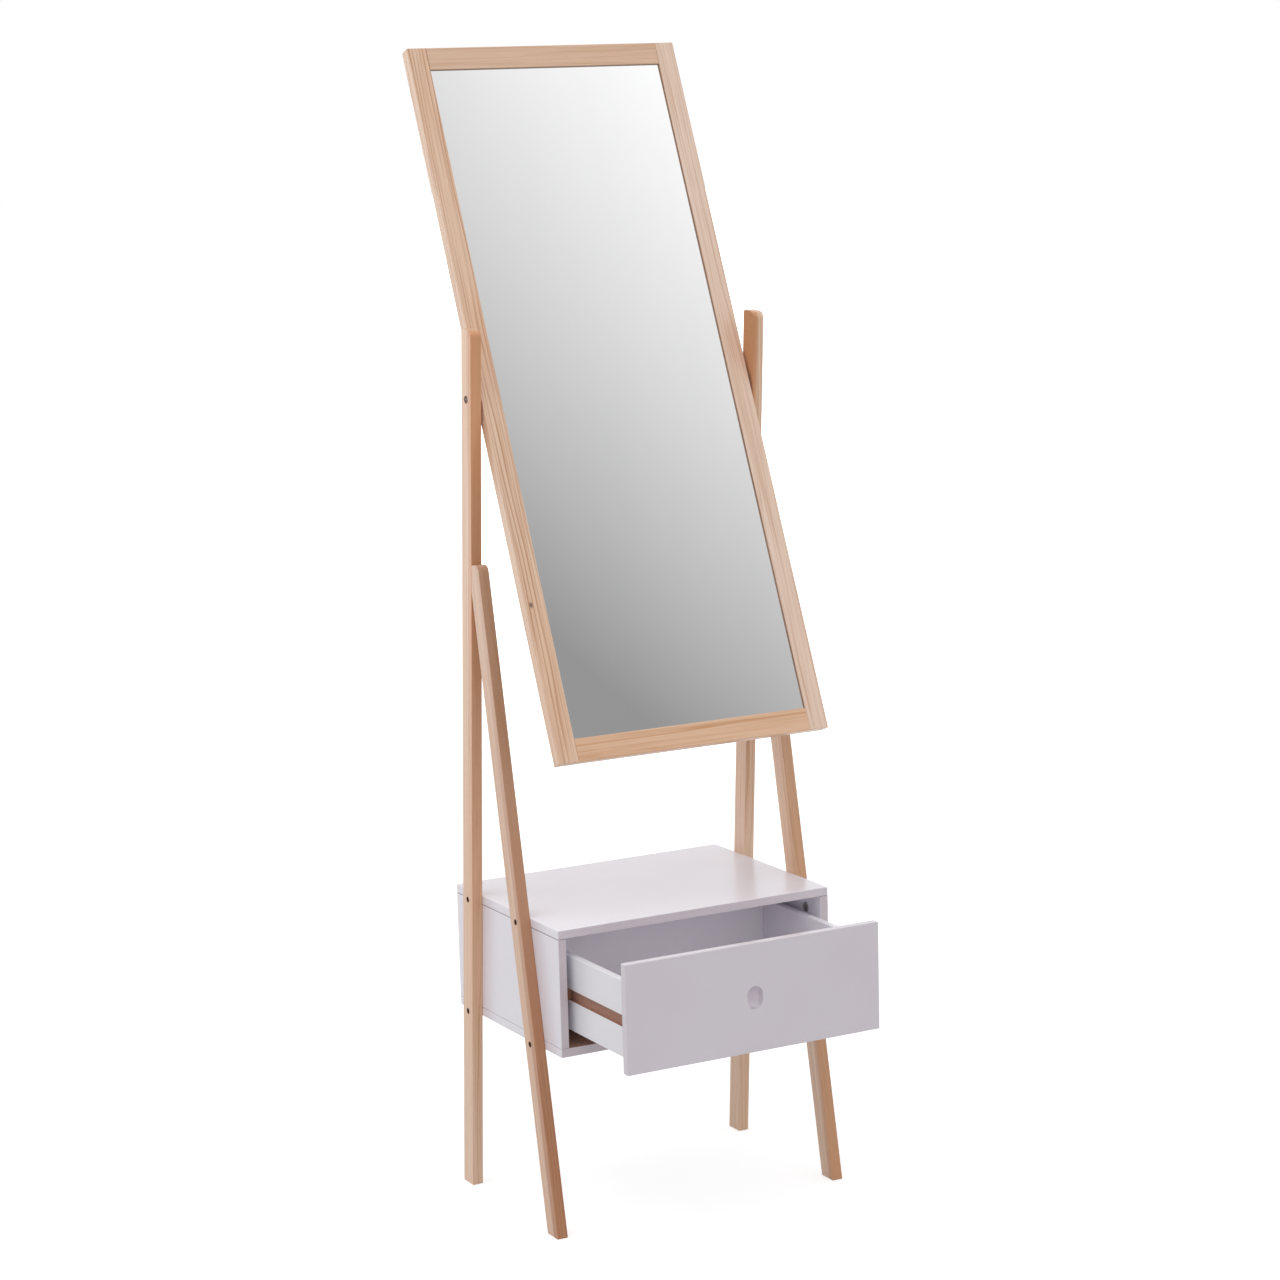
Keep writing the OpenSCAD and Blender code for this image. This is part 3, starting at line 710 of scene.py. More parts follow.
@dataclass(frozen=True)
class Lacquer:
    """Sprayed satin lacquer with a trace of orange peel and a slow drift of tone.

    Attributes:
        name: Name of the material.
        tone: Colour of the paint.
        shade: Colour that the paint drifts towards.
        rough: Roughness of the smoothest paint.
        front_darkening: How far faces that look forward darken towards front_dark_tone, 0 to 1.
        front_dark_tone: Colour that faces looking forward darken towards.
        bare_to: Depth, in millimetres, up to which upper faces are left bare; 0 for none.
        bare_tones: The light and dark colours of the bare board.
    """

    name: str
    tone: Colour = (0.90, 0.84, 0.905)
    shade: Colour = (0.87, 0.805, 0.875)
    rough: float = 0.30
    front_darkening: float = 0.0
    front_dark_tone: Colour = (0.55, 0.46, 0.48)
    bare_to: float = 0.0
    bare_tones: tuple[Colour, Colour] = ((0.56, 0.31, 0.23), (0.30, 0.15, 0.105))

    def material(self) -> bpy.types.Material:
        """Builds the material on Object coordinates."""
        b = Bench(self.name)
        p = b.object_space()
        cloud = b.noise(p, 7.0, 3.0)
        speck = b.noise(p, 420.0, 2.0)
        tone = b.mix(b.ramp(cloud, ((0.35, 0.0), (0.65, 1.0))), self.tone, self.shade)
        tone = b.mix(b.ramp(speck, ((0.62, 0.0), (0.80, 0.25))), tone, self.shade)
        if self.front_darkening > 0:
            forward = b.math("MULTIPLY", b.part(b.normal(), 1), -1.0)
            front = b.math("POWER", b.math("MAXIMUM", forward, 0.0), 4.0)
            tone = b.mix(b.math("MULTIPLY", front, self.front_darkening), tone, self.front_dark_tone)
        rough = b.math("MULTIPLY_ADD", cloud, 0.10, self.rough)
        coat = 0.28
        b.gloss(Specular_IOR_Level=0.42, Coat_Weight=coat, Coat_Roughness=0.12)
        if self.bare_to:
            ahead = b.math("LESS_THAN", b.part(p, 1), self.bare_to * MM)
            bare = b.math("MULTIPLY", b.math("GREATER_THAN", b.part(b.normal(), 2), 0.97), ahead)
            chips = b.ramp(b.noise(p, 210.0, 4.0), ((0.35, 0.0), (0.68, 1.0)))
            tone = b.mix(bare, tone, b.mix(chips, *self.bare_tones))
            rough = b.math("MULTIPLY_ADD", bare, 0.35, rough)
            b.feed("Coat Weight", b.math("MULTIPLY_ADD", bare, -coat, coat))
        b.colour(tone)
        b.feed("Roughness", rough)
        peel = b.math("MULTIPLY_ADD", b.noise(p, 260.0, 2.0), 0.7, b.math("MULTIPLY", speck, 0.3))
        b.bump(peel, 0.00008, 0.5)
        return b.material


@dataclass(frozen=True)
class Fibreboard:
    """Bare pressed board: fine fibres and darker chips."""

    name: str
    light: Colour = (0.56, 0.31, 0.23)
    dark: Colour = (0.30, 0.15, 0.105)
    smooth: float = 0.62

    def material(self) -> bpy.types.Material:
        """Builds the material on Object coordinates."""
        b = Bench(self.name)
        p = b.object_space()
        fluff = b.noise(p, 900.0, 4.0, 0.7)
        cells = b.node("ShaderNodeTexVoronoi", Vector=p, Scale=520.0)
        chips = b.ramp(cells.outputs["Distance"], ((0.10, 1.0), (0.42, 0.0)))
        tone = b.mix(b.ramp(fluff, ((0.30, 0.0), (0.72, 1.0))), self.dark, self.light)
        tone = b.mix(b.math("MULTIPLY", chips, 0.35), tone, self.dark)
        b.colour(tone)
        b.feed("Roughness", b.math("MULTIPLY_ADD", fluff, 0.25, self.smooth))
        b.gloss(Specular_IOR_Level=0.35)
        b.bump(b.math("ADD", fluff, chips), 0.00018, 0.8)
        return b.material


@dataclass(frozen=True)
class Metal:
    """Plated or bright metal with fine turning marks and dull patches."""

    name: str
    bright: Colour
    dull: Colour
    rough: float = 0.30

    def material(self) -> bpy.types.Material:
        """Builds the material on Object coordinates."""
        b = Bench(self.name)
        p = b.object_space()
        cloud = b.noise(p, 320.0, 3.0)
        lines = b.noise(b.stretched(p, (8.0, 1.0, 1.0)), 1400.0, 2.0)
        b.colour(b.mix(b.ramp(cloud, ((0.40, 0.0), (0.70, 1.0))), self.bright, self.dull))
        b.feed("Roughness", b.math("MULTIPLY_ADD", cloud, 0.22, self.rough - 0.08))
        b.gloss(Metallic=1.0)
        b.bump(lines, 0.00004, 0.5)
        return b.material


@dataclass(frozen=True)
class Nylon:
    """Moulded nylon: slightly waxy, with a fine matt grain."""

    name: str
    tone: Colour

    def material(self) -> bpy.types.Material:
        """Builds the material on Object coordinates."""
        b = Bench(self.name)
        grain = b.noise(b.object_space(), 1600.0, 2.0)
        shade = tuple(0.9 * v for v in self.tone)
        b.colour(b.mix(grain, self.tone, shade))
        b.feed("Roughness", b.math("MULTIPLY_ADD", grain, 0.15, 0.40))
        b.gloss(Subsurface_Weight=0.1, Subsurface_Scale=0.002)
        b.bump(grain, 0.00005, 0.5)
        return b.material


@dataclass(frozen=True)
class SilveredGlass:
    """Silvered float glass: a clean reflection with the faintest haze of wiping."""

    name: str
    silver: Colour = (0.965, 0.966, 0.966)
    haze: Colour = (0.945, 0.947, 0.948)

    def material(self, place: Place) -> bpy.types.Material:
        """Builds the material for a pane whose own axes stand at place."""
        b = Bench(self.name)
        p = b.object_space(place)
        wipe = b.noise(b.stretched(p, (1.0, 1.0, 0.45)), 6.0, 4.0, 0.6)
        b.colour(b.mix(b.ramp(wipe, ((0.45, 0.0), (0.75, 1.0))), self.silver, self.haze))
        b.feed("Roughness", b.ramp(wipe, ((0.45, 0.006), (0.80, 0.022))))
        b.gloss(Metallic=1.0)
        return b.material


# ---------------------------------------------------------------- finished pieces


def finish_piece(
    name: str,
    skin: Skin,
    place: Place,
    materials: Sequence[bpy.types.Material],
    body: str,
    nodes: Sequence[str],
    second: Picker | None = None,
) -> None:
    """Turns a surface into a piece of the model.

    Args:
        name: Name of the piece.
        skin: Its surface, in its own axes.
        place: Where those axes stand.
        materials: Its material, and a second one where it has bare patches.
        body: The moving body that it rides on.
        nodes: The plain parts that it stands for.
        second: Picks the faces of the second material from the faces' middles in the piece's own axes.
    """
    quads, tris = skin.faces()
    local = np.vstack(skin.points)
    points = place.points(local)
    looks = place.directions(np.vstack(skin.looks))
    looks /= np.linalg.norm(looks, axis=1, keepdims=True)
    if place.mirrored:
        quads, tris = quads[:, ::-1], tris[:, ::-1]
    mesh = bpy.data.meshes.new(name)
    mesh.vertices.add(len(points))
    mesh.vertices.foreach_set("co", points.astype(np.float32).ravel())
    corners = np.concatenate([quads.ravel(), tris.ravel()]).astype(np.int32)
    starts = np.concatenate([np.arange(len(quads)) * 4, len(quads) * 4 + np.arange(len(tris)) * 3])
    mesh.loops.add(len(corners))
    mesh.loops.foreach_set("vertex_index", corners)
    mesh.polygons.add(len(starts))
    mesh.polygons.foreach_set("loop_start", starts.astype(np.int32))
    mesh.update(calc_edges=True)
    mesh.shade_smooth()
    if second is not None:
        middles = np.vstack([local[quads].mean(1), local[tris].mean(1)])
        mesh.polygons.foreach_set("material_index", second(middles).astype(np.int32))
    mesh.normals_split_custom_set_from_vertices(looks)
    made = bpy.data.objects.new(name, mesh)
    bpy.context.collection.objects.link(made)
    for material in materials:
        mesh.materials.append(material)
    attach(made, body)
    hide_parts(*nodes)
    log.info("made %s: %d points, %d faces", name, len(points), len(starts))


def deep_faces(
    facing: Facing, spots: Sequence[tuple[float, float]], reach: float, span: tuple[float, float]
) -> Picker:
    """Picks the faces inside holes: within reach of a hole's axis and below both broad faces.

    Args:
        facing: The plane that the holes are placed in.
        spots: The holes' centres in that plane.
        reach: Radius that takes in the widest hole.
        span: Lower and upper thickness coordinate of the board.

    Returns:
        A test on the faces' middles.
    """
    a, b, c = facing.value

    def test(middles: Array) -> Array:
        """True for a face inside a hole."""
        near = np.linalg.norm(middles[:, None, [a, b]] - np.array(spots)[None], axis=2).min(1) < reach
        return near & (middles[:, c] > span[0] + FACE_MARGIN) & (middles[:, c] < span[1] - FACE_MARGIN)

    return test


def dress(node: str, material: bpy.types.Material) -> None:
    """Gives a plain part that stays its finish."""
    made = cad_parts[node]
    made.data.materials.clear()
    made.data.materials.append(material)
    log.info("dressed %s", node)


def rectangle(a: tuple[float, float], b: tuple[float, float]) -> Knots:
    """The corners of a rectangle, anticlockwise, from its spans along two axes."""
    return ((a[0], b[0]), (a[1], b[0]), (a[1], b[1]), (a[0], b[1]))


def block(facing: Facing, low: tuple[float, float, float], high: tuple[float, float, float],
          corner: float = 1.0, ease: float = 0.8, bores: Sequence[Bore] = ()) -> Skin:
    """A rectangular board between two corners."""
    a, b, c = facing.value
    return board(facing, rectangle((low[a], high[a]), (low[b], high[b])), (low[c], high[c]),
                 corner, (ease, ease), bores)


@dataclass(frozen=True)
class Fixings:
    """The metal and plastic finishes that the sub-assemblies share."""

    zinc: bpy.types.Material
    steel: bpy.types.Material
    dark: bpy.types.Material
    brass: bpy.types.Material
    nylon: bpy.types.Material

    @classmethod
    def build(cls) -> "Fixings":
        """Makes each finish once."""
        return cls(
            zinc=Metal("zinc", (0.62, 0.61, 0.59), (0.44, 0.43, 0.42), 0.36).material(),
            steel=Metal("bright_steel", (0.66, 0.66, 0.67), (0.48, 0.48, 0.49), 0.26).material(),
            dark=Metal("dark_brown_steel", (0.15, 0.08, 0.055), (0.09, 0.045, 0.03), 0.50).material(),
            brass=Metal("brass", (0.80, 0.58, 0.27), (0.60, 0.42, 0.20), 0.30).material(),
            # The washer's dark brown is painted shade of the gap between stile and post.
            nylon=Nylon("nylon_painted_shade", (0.23, 0.15, 0.10)).material(),
        )


@dataclass
class Stand:
    """Two leaning rear posts and two splayed front legs, with the bolts that tie them to the cabinet."""

    half: float = 230.0
    thick: float = 16.0
    deep: float = 30.0
    post_lean: float = 4.3
    post_foot: float = 142.7
    post_top: float = 1233.0
    leg_lean: float = 10.95
    leg_foot: float = -122.7
    leg_top: float = 914.0
    front_round: float = 11.0
    rear_round: float = 4.0
    edge_ease: float = 0.9
    pivot_height: float = 1138.0
    foot_round: float = 1.2
    bolt_heights: tuple[float, float] = (427.5, 261.5)
    bolt_bore: Knots = ((4.2, 0.0), (4.2, 5.0), (2.55, 5.0))
    bolt_length: float = 50.0
    bolt_neck: float = 45.0
    screw_height: float = 898.0
    screw_bore: Knots = ((4.2, 0.0), (4.2, 8.0))
    pivot_bore: Knots = ((5.5, 0.0), (5.5, 6.0), (3.05, 6.0))
    pivot_tip: float = 198.0
    pivot_sink: float = 5.9
    hole_reach: float = 6.5
    fixings: Fixings | None = None
    hole_shade: bpy.types.Material | None = None

    @property
    def inner(self) -> float:
        """Inner face of a post."""
        return self.half - self.thick

    @property
    def pivot_y(self) -> float:
        """Depth of the pivot axis."""
        return self.post_middle(self.pivot_height)

    def post_middle(self, z: float) -> float:
        """Depth of a post's middle line at height z."""
        t = math.radians(self.post_lean)
        return self.post_foot + self.deep / 2 / math.cos(t) - z * math.tan(t)

    def leg_middle(self, z: float) -> float:
        """Depth of a leg's middle line at height z."""
        t = math.radians(self.leg_lean)
        return self.leg_foot + self.deep / 2 / math.cos(t) + z * math.tan(t)

    def post_place(self, side: Side) -> Place:
        """A post's own axes: front face at y = 0, foot of that face at z = 0."""
        return Place((0.0, self.post_foot, 0.0), self.post_lean, mirrored=side.mirrored)

    def leg_place(self, side: Side) -> Place:
        """A leg's own axes: front face at y = 0, foot of that face at z = 0."""
        return Place((0.0, self.leg_foot, 0.0), -self.leg_lean, mirrored=side.mirrored)

    @staticmethod
    def _into(place: Place, y: float, z: float) -> tuple[float, float]:
        """A point of the row frame in the side plane of a leaning member."""
        t = math.radians(place.lean)
        dy, dz = y - place.origin[1], z - place.origin[2]
        return dy * math.cos(t) + dz * math.sin(t), dz * math.cos(t) - dy * math.sin(t)

    def _bolt_holes(self, place: Place, middle: Callable[[float], float]) -> list[Bore]:
        """The counterbored holes for the cabinet bolts, from the outer face."""
        spots = [self._into(place, middle(z), z) for z in self.bolt_heights]
        return [Bore(spot, self.bolt_bore, through=True) for spot in spots]

    def _finish(
        self, name: str, node: str, skin: Skin, place: Place, wood: Pine, bores: Sequence[Bore]
    ) -> None:
        """Finishes a post or a leg, with the walls of its holes dark brown as painted shade."""
        spots = [bore.at for bore in bores]
        deep = deep_faces(Facing.SIDEWAYS, spots, self.hole_reach, (self.inner, self.half))
        materials = [wood.material(place), self.hole_shade]
        finish_piece(name, skin, place, materials, "stand", [node], deep)

    def post(self, side: Side, wood: Pine) -> None:
        """A rear post: foot cut level, top rounded, holes for pivot, bolts and leg screw."""
        place = self.post_place(side)
        t = math.radians(self.post_lean)
        top = (self.post_top - self.deep / 2 * math.sin(t)) / math.cos(t)
        foot = -self.deep * math.tan(t)
        knots = ((0.0, 0.0), (self.deep, foot), (self.deep, top), (0.0, top))
        bores = self._bolt_holes(place, self.post_middle)
        pivot_at = self._into(place, self.pivot_y, self.pivot_height)
        bores.append(Bore(pivot_at, self.pivot_bore, through=True, sides=36))
        along = self.screw_height / math.cos(t)
        # the rear edge runs from the first corner's arc to the second's
        middle = ((foot + self.foot_round) + (top - self.rear_round)) / 2
        screw = Bore((along - middle, self.half - self.thick / 2), self.screw_bore)
        skin = board(Facing.SIDEWAYS, knots, (self.inner, self.half),
                     (self.foot_round, self.foot_round, self.rear_round, self.front_round),
                     (self.edge_ease,) * 2, bores, edge_bores=((1, screw),), steps=8)
        self._finish(f"post_{side.value}", f"{side.value}_rear_post", skin, place, wood, bores)

    def leg(self, side: Side, wood: Pine) -> None:
        """A front leg: foot cut level, top rounded in front and mitred to lie on the post."""
        place = self.leg_place(side)
        t, p = math.radians(self.leg_lean), math.radians(self.post_lean)
        top = self.leg_top / math.cos(t)
        foot = self.deep * math.tan(t)
        # the post's front face in the leg's own axes, and where it meets the leg's rear face and top
        face_y, face_z = self._into(place, self.post_foot, 0.0)
        slope = math.tan(p + t)
        at_rear = face_z + (face_y - self.deep) / slope
        at_top = face_y - (top - face_z) * slope
        knots = ((0.0, 0.0), (self.deep, foot), (self.deep, at_rear), (at_top, top), (0.0, top))
        radii = (self.foot_round, self.foot_round, 1.0, 0.5, min(self.front_round, at_top - 0.8))
        bores = self._bolt_holes(place, self.leg_middle)
        skin = board(Facing.SIDEWAYS, knots, (self.inner, self.half), radii, (self.edge_ease,) * 2, bores,
                     steps=8)
        self._finish(f"leg_{side.value}", f"{side.value}_front_leg", skin, place, wood, bores)

    def bolts(self, side: Side) -> None:
        """The four recessed bolts of one side, with six-sided sockets."""
        skin = Skin()
        knots = socket_bolt((2.5, 3.8, 1.7), self.bolt_neck, 3.0, 1.0)
        for middle in (self.post_middle, self.leg_middle):
            for z in self.bolt_heights:
                at = (self.half - self.bolt_length, middle(z), z)
                turned(knots, 0.25, 36, self.bolt_neck + 0.5, skin, at)
        finish_piece(f"bolts_{side.value}", skin, Place(mirrored=side.mirrored), [self.fixings.dark],
                     "stand", [f"{side.value}_cabinet_bolts"])

    def pivot_bolt(self, side: Side) -> None:
        """A pivot bolt: shank in the frame's insert, head sunk in the post. It turns with the mirror."""
        neck = self.half - self.pivot_sink - self.pivot_tip
        skin = Skin()
        turned(socket_bolt((3.0, 5.0, 2.6), neck, 5.0, 2.0), 0.35, 48, neck + 1.5, skin,
               (self.pivot_tip, self.pivot_y, self.pivot_height))

        def rim(middles: Array) -> Array:
            """The head's outer ring and its flank, dark as painted shade of the counterbore."""
            away = np.hypot(middles[:, 1] - self.pivot_y, middles[:, 2] - self.pivot_height)
            return (away > 2.9) & (middles[:, 0] > self.pivot_tip + neck - 0.1)

        metals = [self.fixings.steel, self.fixings.dark]
        finish_piece(f"pivot_{side.value}", skin, Place(mirrored=side.mirrored), metals, "mirror",
                     [f"{side.value}_pivot_bolt"], rim)

    def make(self) -> None:
        """Builds and dresses the whole stand."""
        # The dark brown inside the holes is painted shade of the bores.
        self.hole_shade = Fibreboard("hole_painted_shade_wood", (0.22, 0.11, 0.06), (0.10, 0.045, 0.025), 0.70).material()
        woods = {
            # On the posts the redder band is painted shade: it grows up the left post's front face towards
            # the pivot and lies on the right post's inner face near the top, where the mirror shades them.
            ("post", Side.LEFT): Pine("pine_post_left", pith=(-120, -160), seed=1.3, heart_and_shade=(8.0, 0.38),
                                      heart_and_shade_tone=(0.70, 0.29, 0.11), heart_and_shade_rise=1.7),
            ("post", Side.RIGHT): Pine("pine_post_right", pith=(60, -150), seed=2.7, heart_and_shade=(219.5, 0.19),
                                       heart_and_shade_tone=(0.60, 0.255, 0.105), heart_and_shade_rise=6.0, heart_and_shade_axis=0),
            ("leg", Side.LEFT): Pine("pine_leg_left", early=(0.75, 0.49, 0.345), blush=(0.72, 0.43, 0.27),
                                     pith=(-90, 190), seed=4.1, heart_and_shade=(10.0, 0.62),
                                     heart_and_shade_tone=(0.42, 0.15, 0.055), heart_and_shade_rise=-1.6),
            ("leg", Side.RIGHT): Pine("pine_leg_right", early=(0.82, 0.575, 0.415), pith=(120, -130),
                                      seed=5.9, heart_and_shade=(8.0, 0.55), heart_and_shade_rise=-1.2),
        }
        for side in Side:
            self.post(side, woods["post", side])
            self.leg(side, woods["leg", side])
            self.bolts(side)
            self.pivot_bolt(side)
            peg = Pine(f"dowel_wood_{side.value}", seed=8.0, gap=1.4, rings=0.3)
            dress(f"{side.value}_leg_dowel", peg.material(self.post_place(side)))
            dress(f"{side.value}_leg_screw", self.fixings.dark)
            dress(f"{side.value}_pivot_washer", self.fixings.nylon)
            dress(f"{side.value}_pivot_insert", self.fixings.brass)


@dataclass
class Cabinet:
    """The lacquered case between the posts: top and bottom over two sides, a thin back and two runners."""

    half: float = 214.0
    front: float = -121.0
    rear: float = 195.0
    low: float = 255.5
    high: float = 433.5
    board: float = 12.0
    back_at: float = 180.0
    back_thick: float = 3.0
    back_groove: float = 3.5
    cam_inset: float = 41.0
    cam_height: float = 24.0
    cam_bore: Knots = ((7.55, 0.0), (7.55, 9.5))
    runner_inner: float = 187.6
    runner_ends: tuple[float, float] = (-106.0, 170.0)
    runner_heights: tuple[float, float] = (331.45, 346.45)
    screw_at: tuple[float, ...] = (-82.0, 32.0, 146.0)
    screw_bore: Knots = ((3.7, 0.0), (1.8, 2.2))
    fixings: Fixings | None = None
    corner: float = 1.1
    ease: float = 0.9
    joint_line: float = 0.8
    joint_shade: bpy.types.Material | None = None

    @property
    def bay(self) -> float:
        """Inner face of a side."""
        return self.half - self.board

    def _boards(self, finish: Lacquer) -> None:
        """The two full-width boards. The bottom one is bare inside the bay."""
        for name, low, high, bare_to, front_dark in (
            ("cabinet_top", self.high - self.board, self.high, 0.0, 0.52),
            ("cabinet_bottom", self.low, self.low + self.board, self.back_at, 0.72),
        ):
            skin = block(Facing.UPWARD, (-self.half, self.front, low), (self.half, self.rear, high),
                         self.corner, self.ease)
            paint = replace(finish, name=f"{name}_lacquer", bare_to=bare_to, front_darkening=front_dark).material()
            finish_piece(f"{name}_board", skin, Place(), [paint], "stand", [name])

    def _side(self, side: Side, paint: bpy.types.Material) -> None:
        """One side, with the round pockets of the cam locks in its inner face."""
        low, high = self.low + self.board, self.high - self.board
        cams = [
            Bore((y, z), self.cam_bore, top=False, sides=40)
            for y in (self.front + self.cam_inset, self.rear - self.cam_inset)
            for z in (low + self.cam_height, high - self.cam_height)
        ]
        skin = block(Facing.SIDEWAYS, (self.bay, self.front, low), (self.half, self.rear, high),
                     self.corner, self.ease, cams)

        def joint(middles: Array) -> Array:
            """The eased edges that meet the top and bottom boards, dark as painted shade of the joint."""
            return (middles[:, 2] > high - self.joint_line) | (middles[:, 2] < low + self.joint_line)

        finish_piece(f"cabinet_side_{side.value}", skin, Place(mirrored=side.mirrored),
                     [paint, self.joint_shade], "stand", [f"cabinet_{side.value}_side"], joint)

    def _runner(self, side: Side, wood: bpy.types.Material) -> None:
        """The strip that the drawer side's groove slides on, with three countersunk holes."""
        (front, rear), (low, high) = self.runner_ends, self.runner_heights
        holes = [Bore((y, (low + high) / 2), self.screw_bore, top=False, through=True) for y in self.screw_at]
        skin = block(Facing.SIDEWAYS, (self.runner_inner, front, low), (self.bay, rear, high), 0.8, 0.6,
                     holes)
        finish_piece(f"runner_{side.value}", skin, Place(mirrored=side.mirrored), [wood], "stand",
                     [f"{side.value}_runner"])

    def make(self) -> None:
        """Builds and dresses the case."""
        # The dark joint lacquer is painted shade in the line between the side and the top and bottom boards.
        self.joint_shade = Lacquer("joint_painted_shade_lacquer", tone=(0.40, 0.33, 0.36), shade=(0.34, 0.28, 0.30),
                                    rough=0.5).material()
        finish = Lacquer("case_lacquer", tone=(0.91, 0.885, 0.955), shade=(0.89, 0.86, 0.93), front_darkening=0.72)
        paint = finish.material()
        self._boards(finish)
        wide = self.bay + self.back_groove
        low, high = self.low + self.board - self.back_groove, self.high - self.board + self.back_groove
        skin = block(Facing.FORWARD, (-wide, self.back_at, low), (wide, self.back_at + self.back_thick, high),
                     0.5, 0.3)
        finish_piece("cabinet_back_board", skin, Place(), [Lacquer("back_lacquer", rough=0.42).material()],
                     "stand", ["cabinet_back"])
        strip = Pine("runner_wood", early=(0.42, 0.22, 0.13), late=(0.26, 0.12, 0.07),
                     blush=(0.36, 0.18, 0.10), pith=(30, 22), gap=2.2, seed=6.6,
                     grain=Grain.ENDWISE).material(Place())
        peg = Pine("peg_wood", gap=1.5, rings=0.3, seed=3.3).material(Place())
        for side in Side:
            self._side(side, paint)
            self._runner(side, strip)
            dress(f"{side.value}_cam_locks", self.fixings.zinc)
            dress(f"{side.value}_cam_bolts", self.fixings.zinc)
            dress(f"{side.value}_cabinet_dowels", peg)
            dress(f"{side.value}_runner_screws", self.fixings.steel)


@dataclass
class Drawer:
    """The drawer: an inset front with an oval finger hole, grooved sides, back and bottom."""

    front_at: float = -278.0
    board: float = 12.0
    half: float = 197.0
    low: float = 268.5
    high: float = 420.0
    side_outer: float = 192.0
    side_thick: float = 10.0
    side_low: float = 288.5
    side_high: float = 394.5
    rear: float = 14.0
    back_thick: float = 10.0
    floor_span: tuple[float, float] = (296.5, 300.5)
    floor_groove: float = 3.7
    groove: tuple[float, float] = (330.5, 346.5)
    groove_deep: float = 5.0
    hole_radius: float = 12.0
    hole_half: float = 4.0
    fixings: Fixings | None = None

    def front(self, paint: bpy.types.Material) -> None:
        """The front with its finger hole."""
        hole = Bore(((self.low + self.high) / 2, 0.0), ((self.hole_radius, 0.0),), top=False, through=True,
                    slot=self.hole_half, sides=64)
        skin = block(Facing.FORWARD, (-self.half, self.front_at, self.low),
                     (self.half, self.front_at + self.board, self.high), 1.2, 1.0, [hole])
        finish_piece("drawer_face", skin, Place(), [paint], "drawer", ["drawer_front"])

    def side(self, side: Side, paint: bpy.types.Material, bare: bpy.types.Material) -> None:
        """A drawer side: its section, with the runner groove, carried from front to back."""
        outer, inner = self.side_outer, self.side_outer - self.side_thick
        floor = outer - self.groove_deep
        g0, g1 = self.groove
        knots = ((self.side_low, inner), (self.side_high, inner), (self.side_high, outer), (g1, outer),
                 (g1, floor), (g0, floor), (g0, outer), (self.side_low, outer))
        radii = (0.8, 1.6, 1.6, 0.4, 0.3, 0.3, 0.4, 0.8)
        skin = board(Facing.FORWARD, knots, (self.front_at + self.board, self.rear), radii, (0.2, 0.3))

        def groove_faces(middles: Array) -> Array:
            """Faces inside the groove."""
            x, z = middles[:, 0], middles[:, 2]
            return (x < outer - FACE_MARGIN) & (x > inner + 1) & (z > g0 - 0.1) & (z < g1 + 0.1)

        finish_piece(f"drawer_side_{side.value}", skin, Place(mirrored=side.mirrored), [paint, bare],
                     "drawer", [f"drawer_{side.value}_side"], groove_faces)

    def make(self) -> None:
        """Builds and dresses the drawer."""
        # The drawer front's paint is a darker copy of the case paint: painted shade on the front-facing
        # panel.
        paint = Lacquer("drawer_front_shaded_lacquer", tone=(0.725, 0.68, 0.735),
                        shade=(0.71, 0.66, 0.715)).material()
        inside_paint = Lacquer("drawer_box_lacquer", tone=(0.89, 0.875, 0.92), shade=(0.87, 0.855, 0.90),
                               rough=0.36).material()
        bare = Fibreboard("bare_fibreboard").material()
        self.front(paint)
        for side in Side:
            self.side(side, inside_paint, bare)
        inner = self.side_outer - self.side_thick
        underside, surface = self.floor_span
        back = block(Facing.FORWARD, (-inner, self.rear - self.back_thick, surface),
                     (inner, self.rear, self.side_high), 1.2, 0.6)
        pale = Lacquer("drawer_back_lacquer", tone=(0.95, 0.935, 0.965), shade=(0.93, 0.915, 0.95),
                       rough=0.36).material()
        finish_piece("drawer_back_board", back, Place(), [pale], "drawer", ["drawer_back"])
        wide = inner + self.floor_groove
        bottom = block(Facing.UPWARD, (-wide, self.front_at + self.board - self.floor_groove, underside),
                       (wide, self.rear, surface), 0.5, 0.3)
        finish_piece("drawer_floor", bottom, Place(), [Lacquer("floor_lacquer", rough=0.45).material()],
                     "drawer", ["drawer_bottom"])
        peg = Pine("drawer_peg_wood", gap=1.5, rings=0.3, seed=2.2, grain=Grain.ENDWISE).material(Place())
        dress("drawer_dowels", peg)
        dress("drawer_screws", self.fixings.steel)


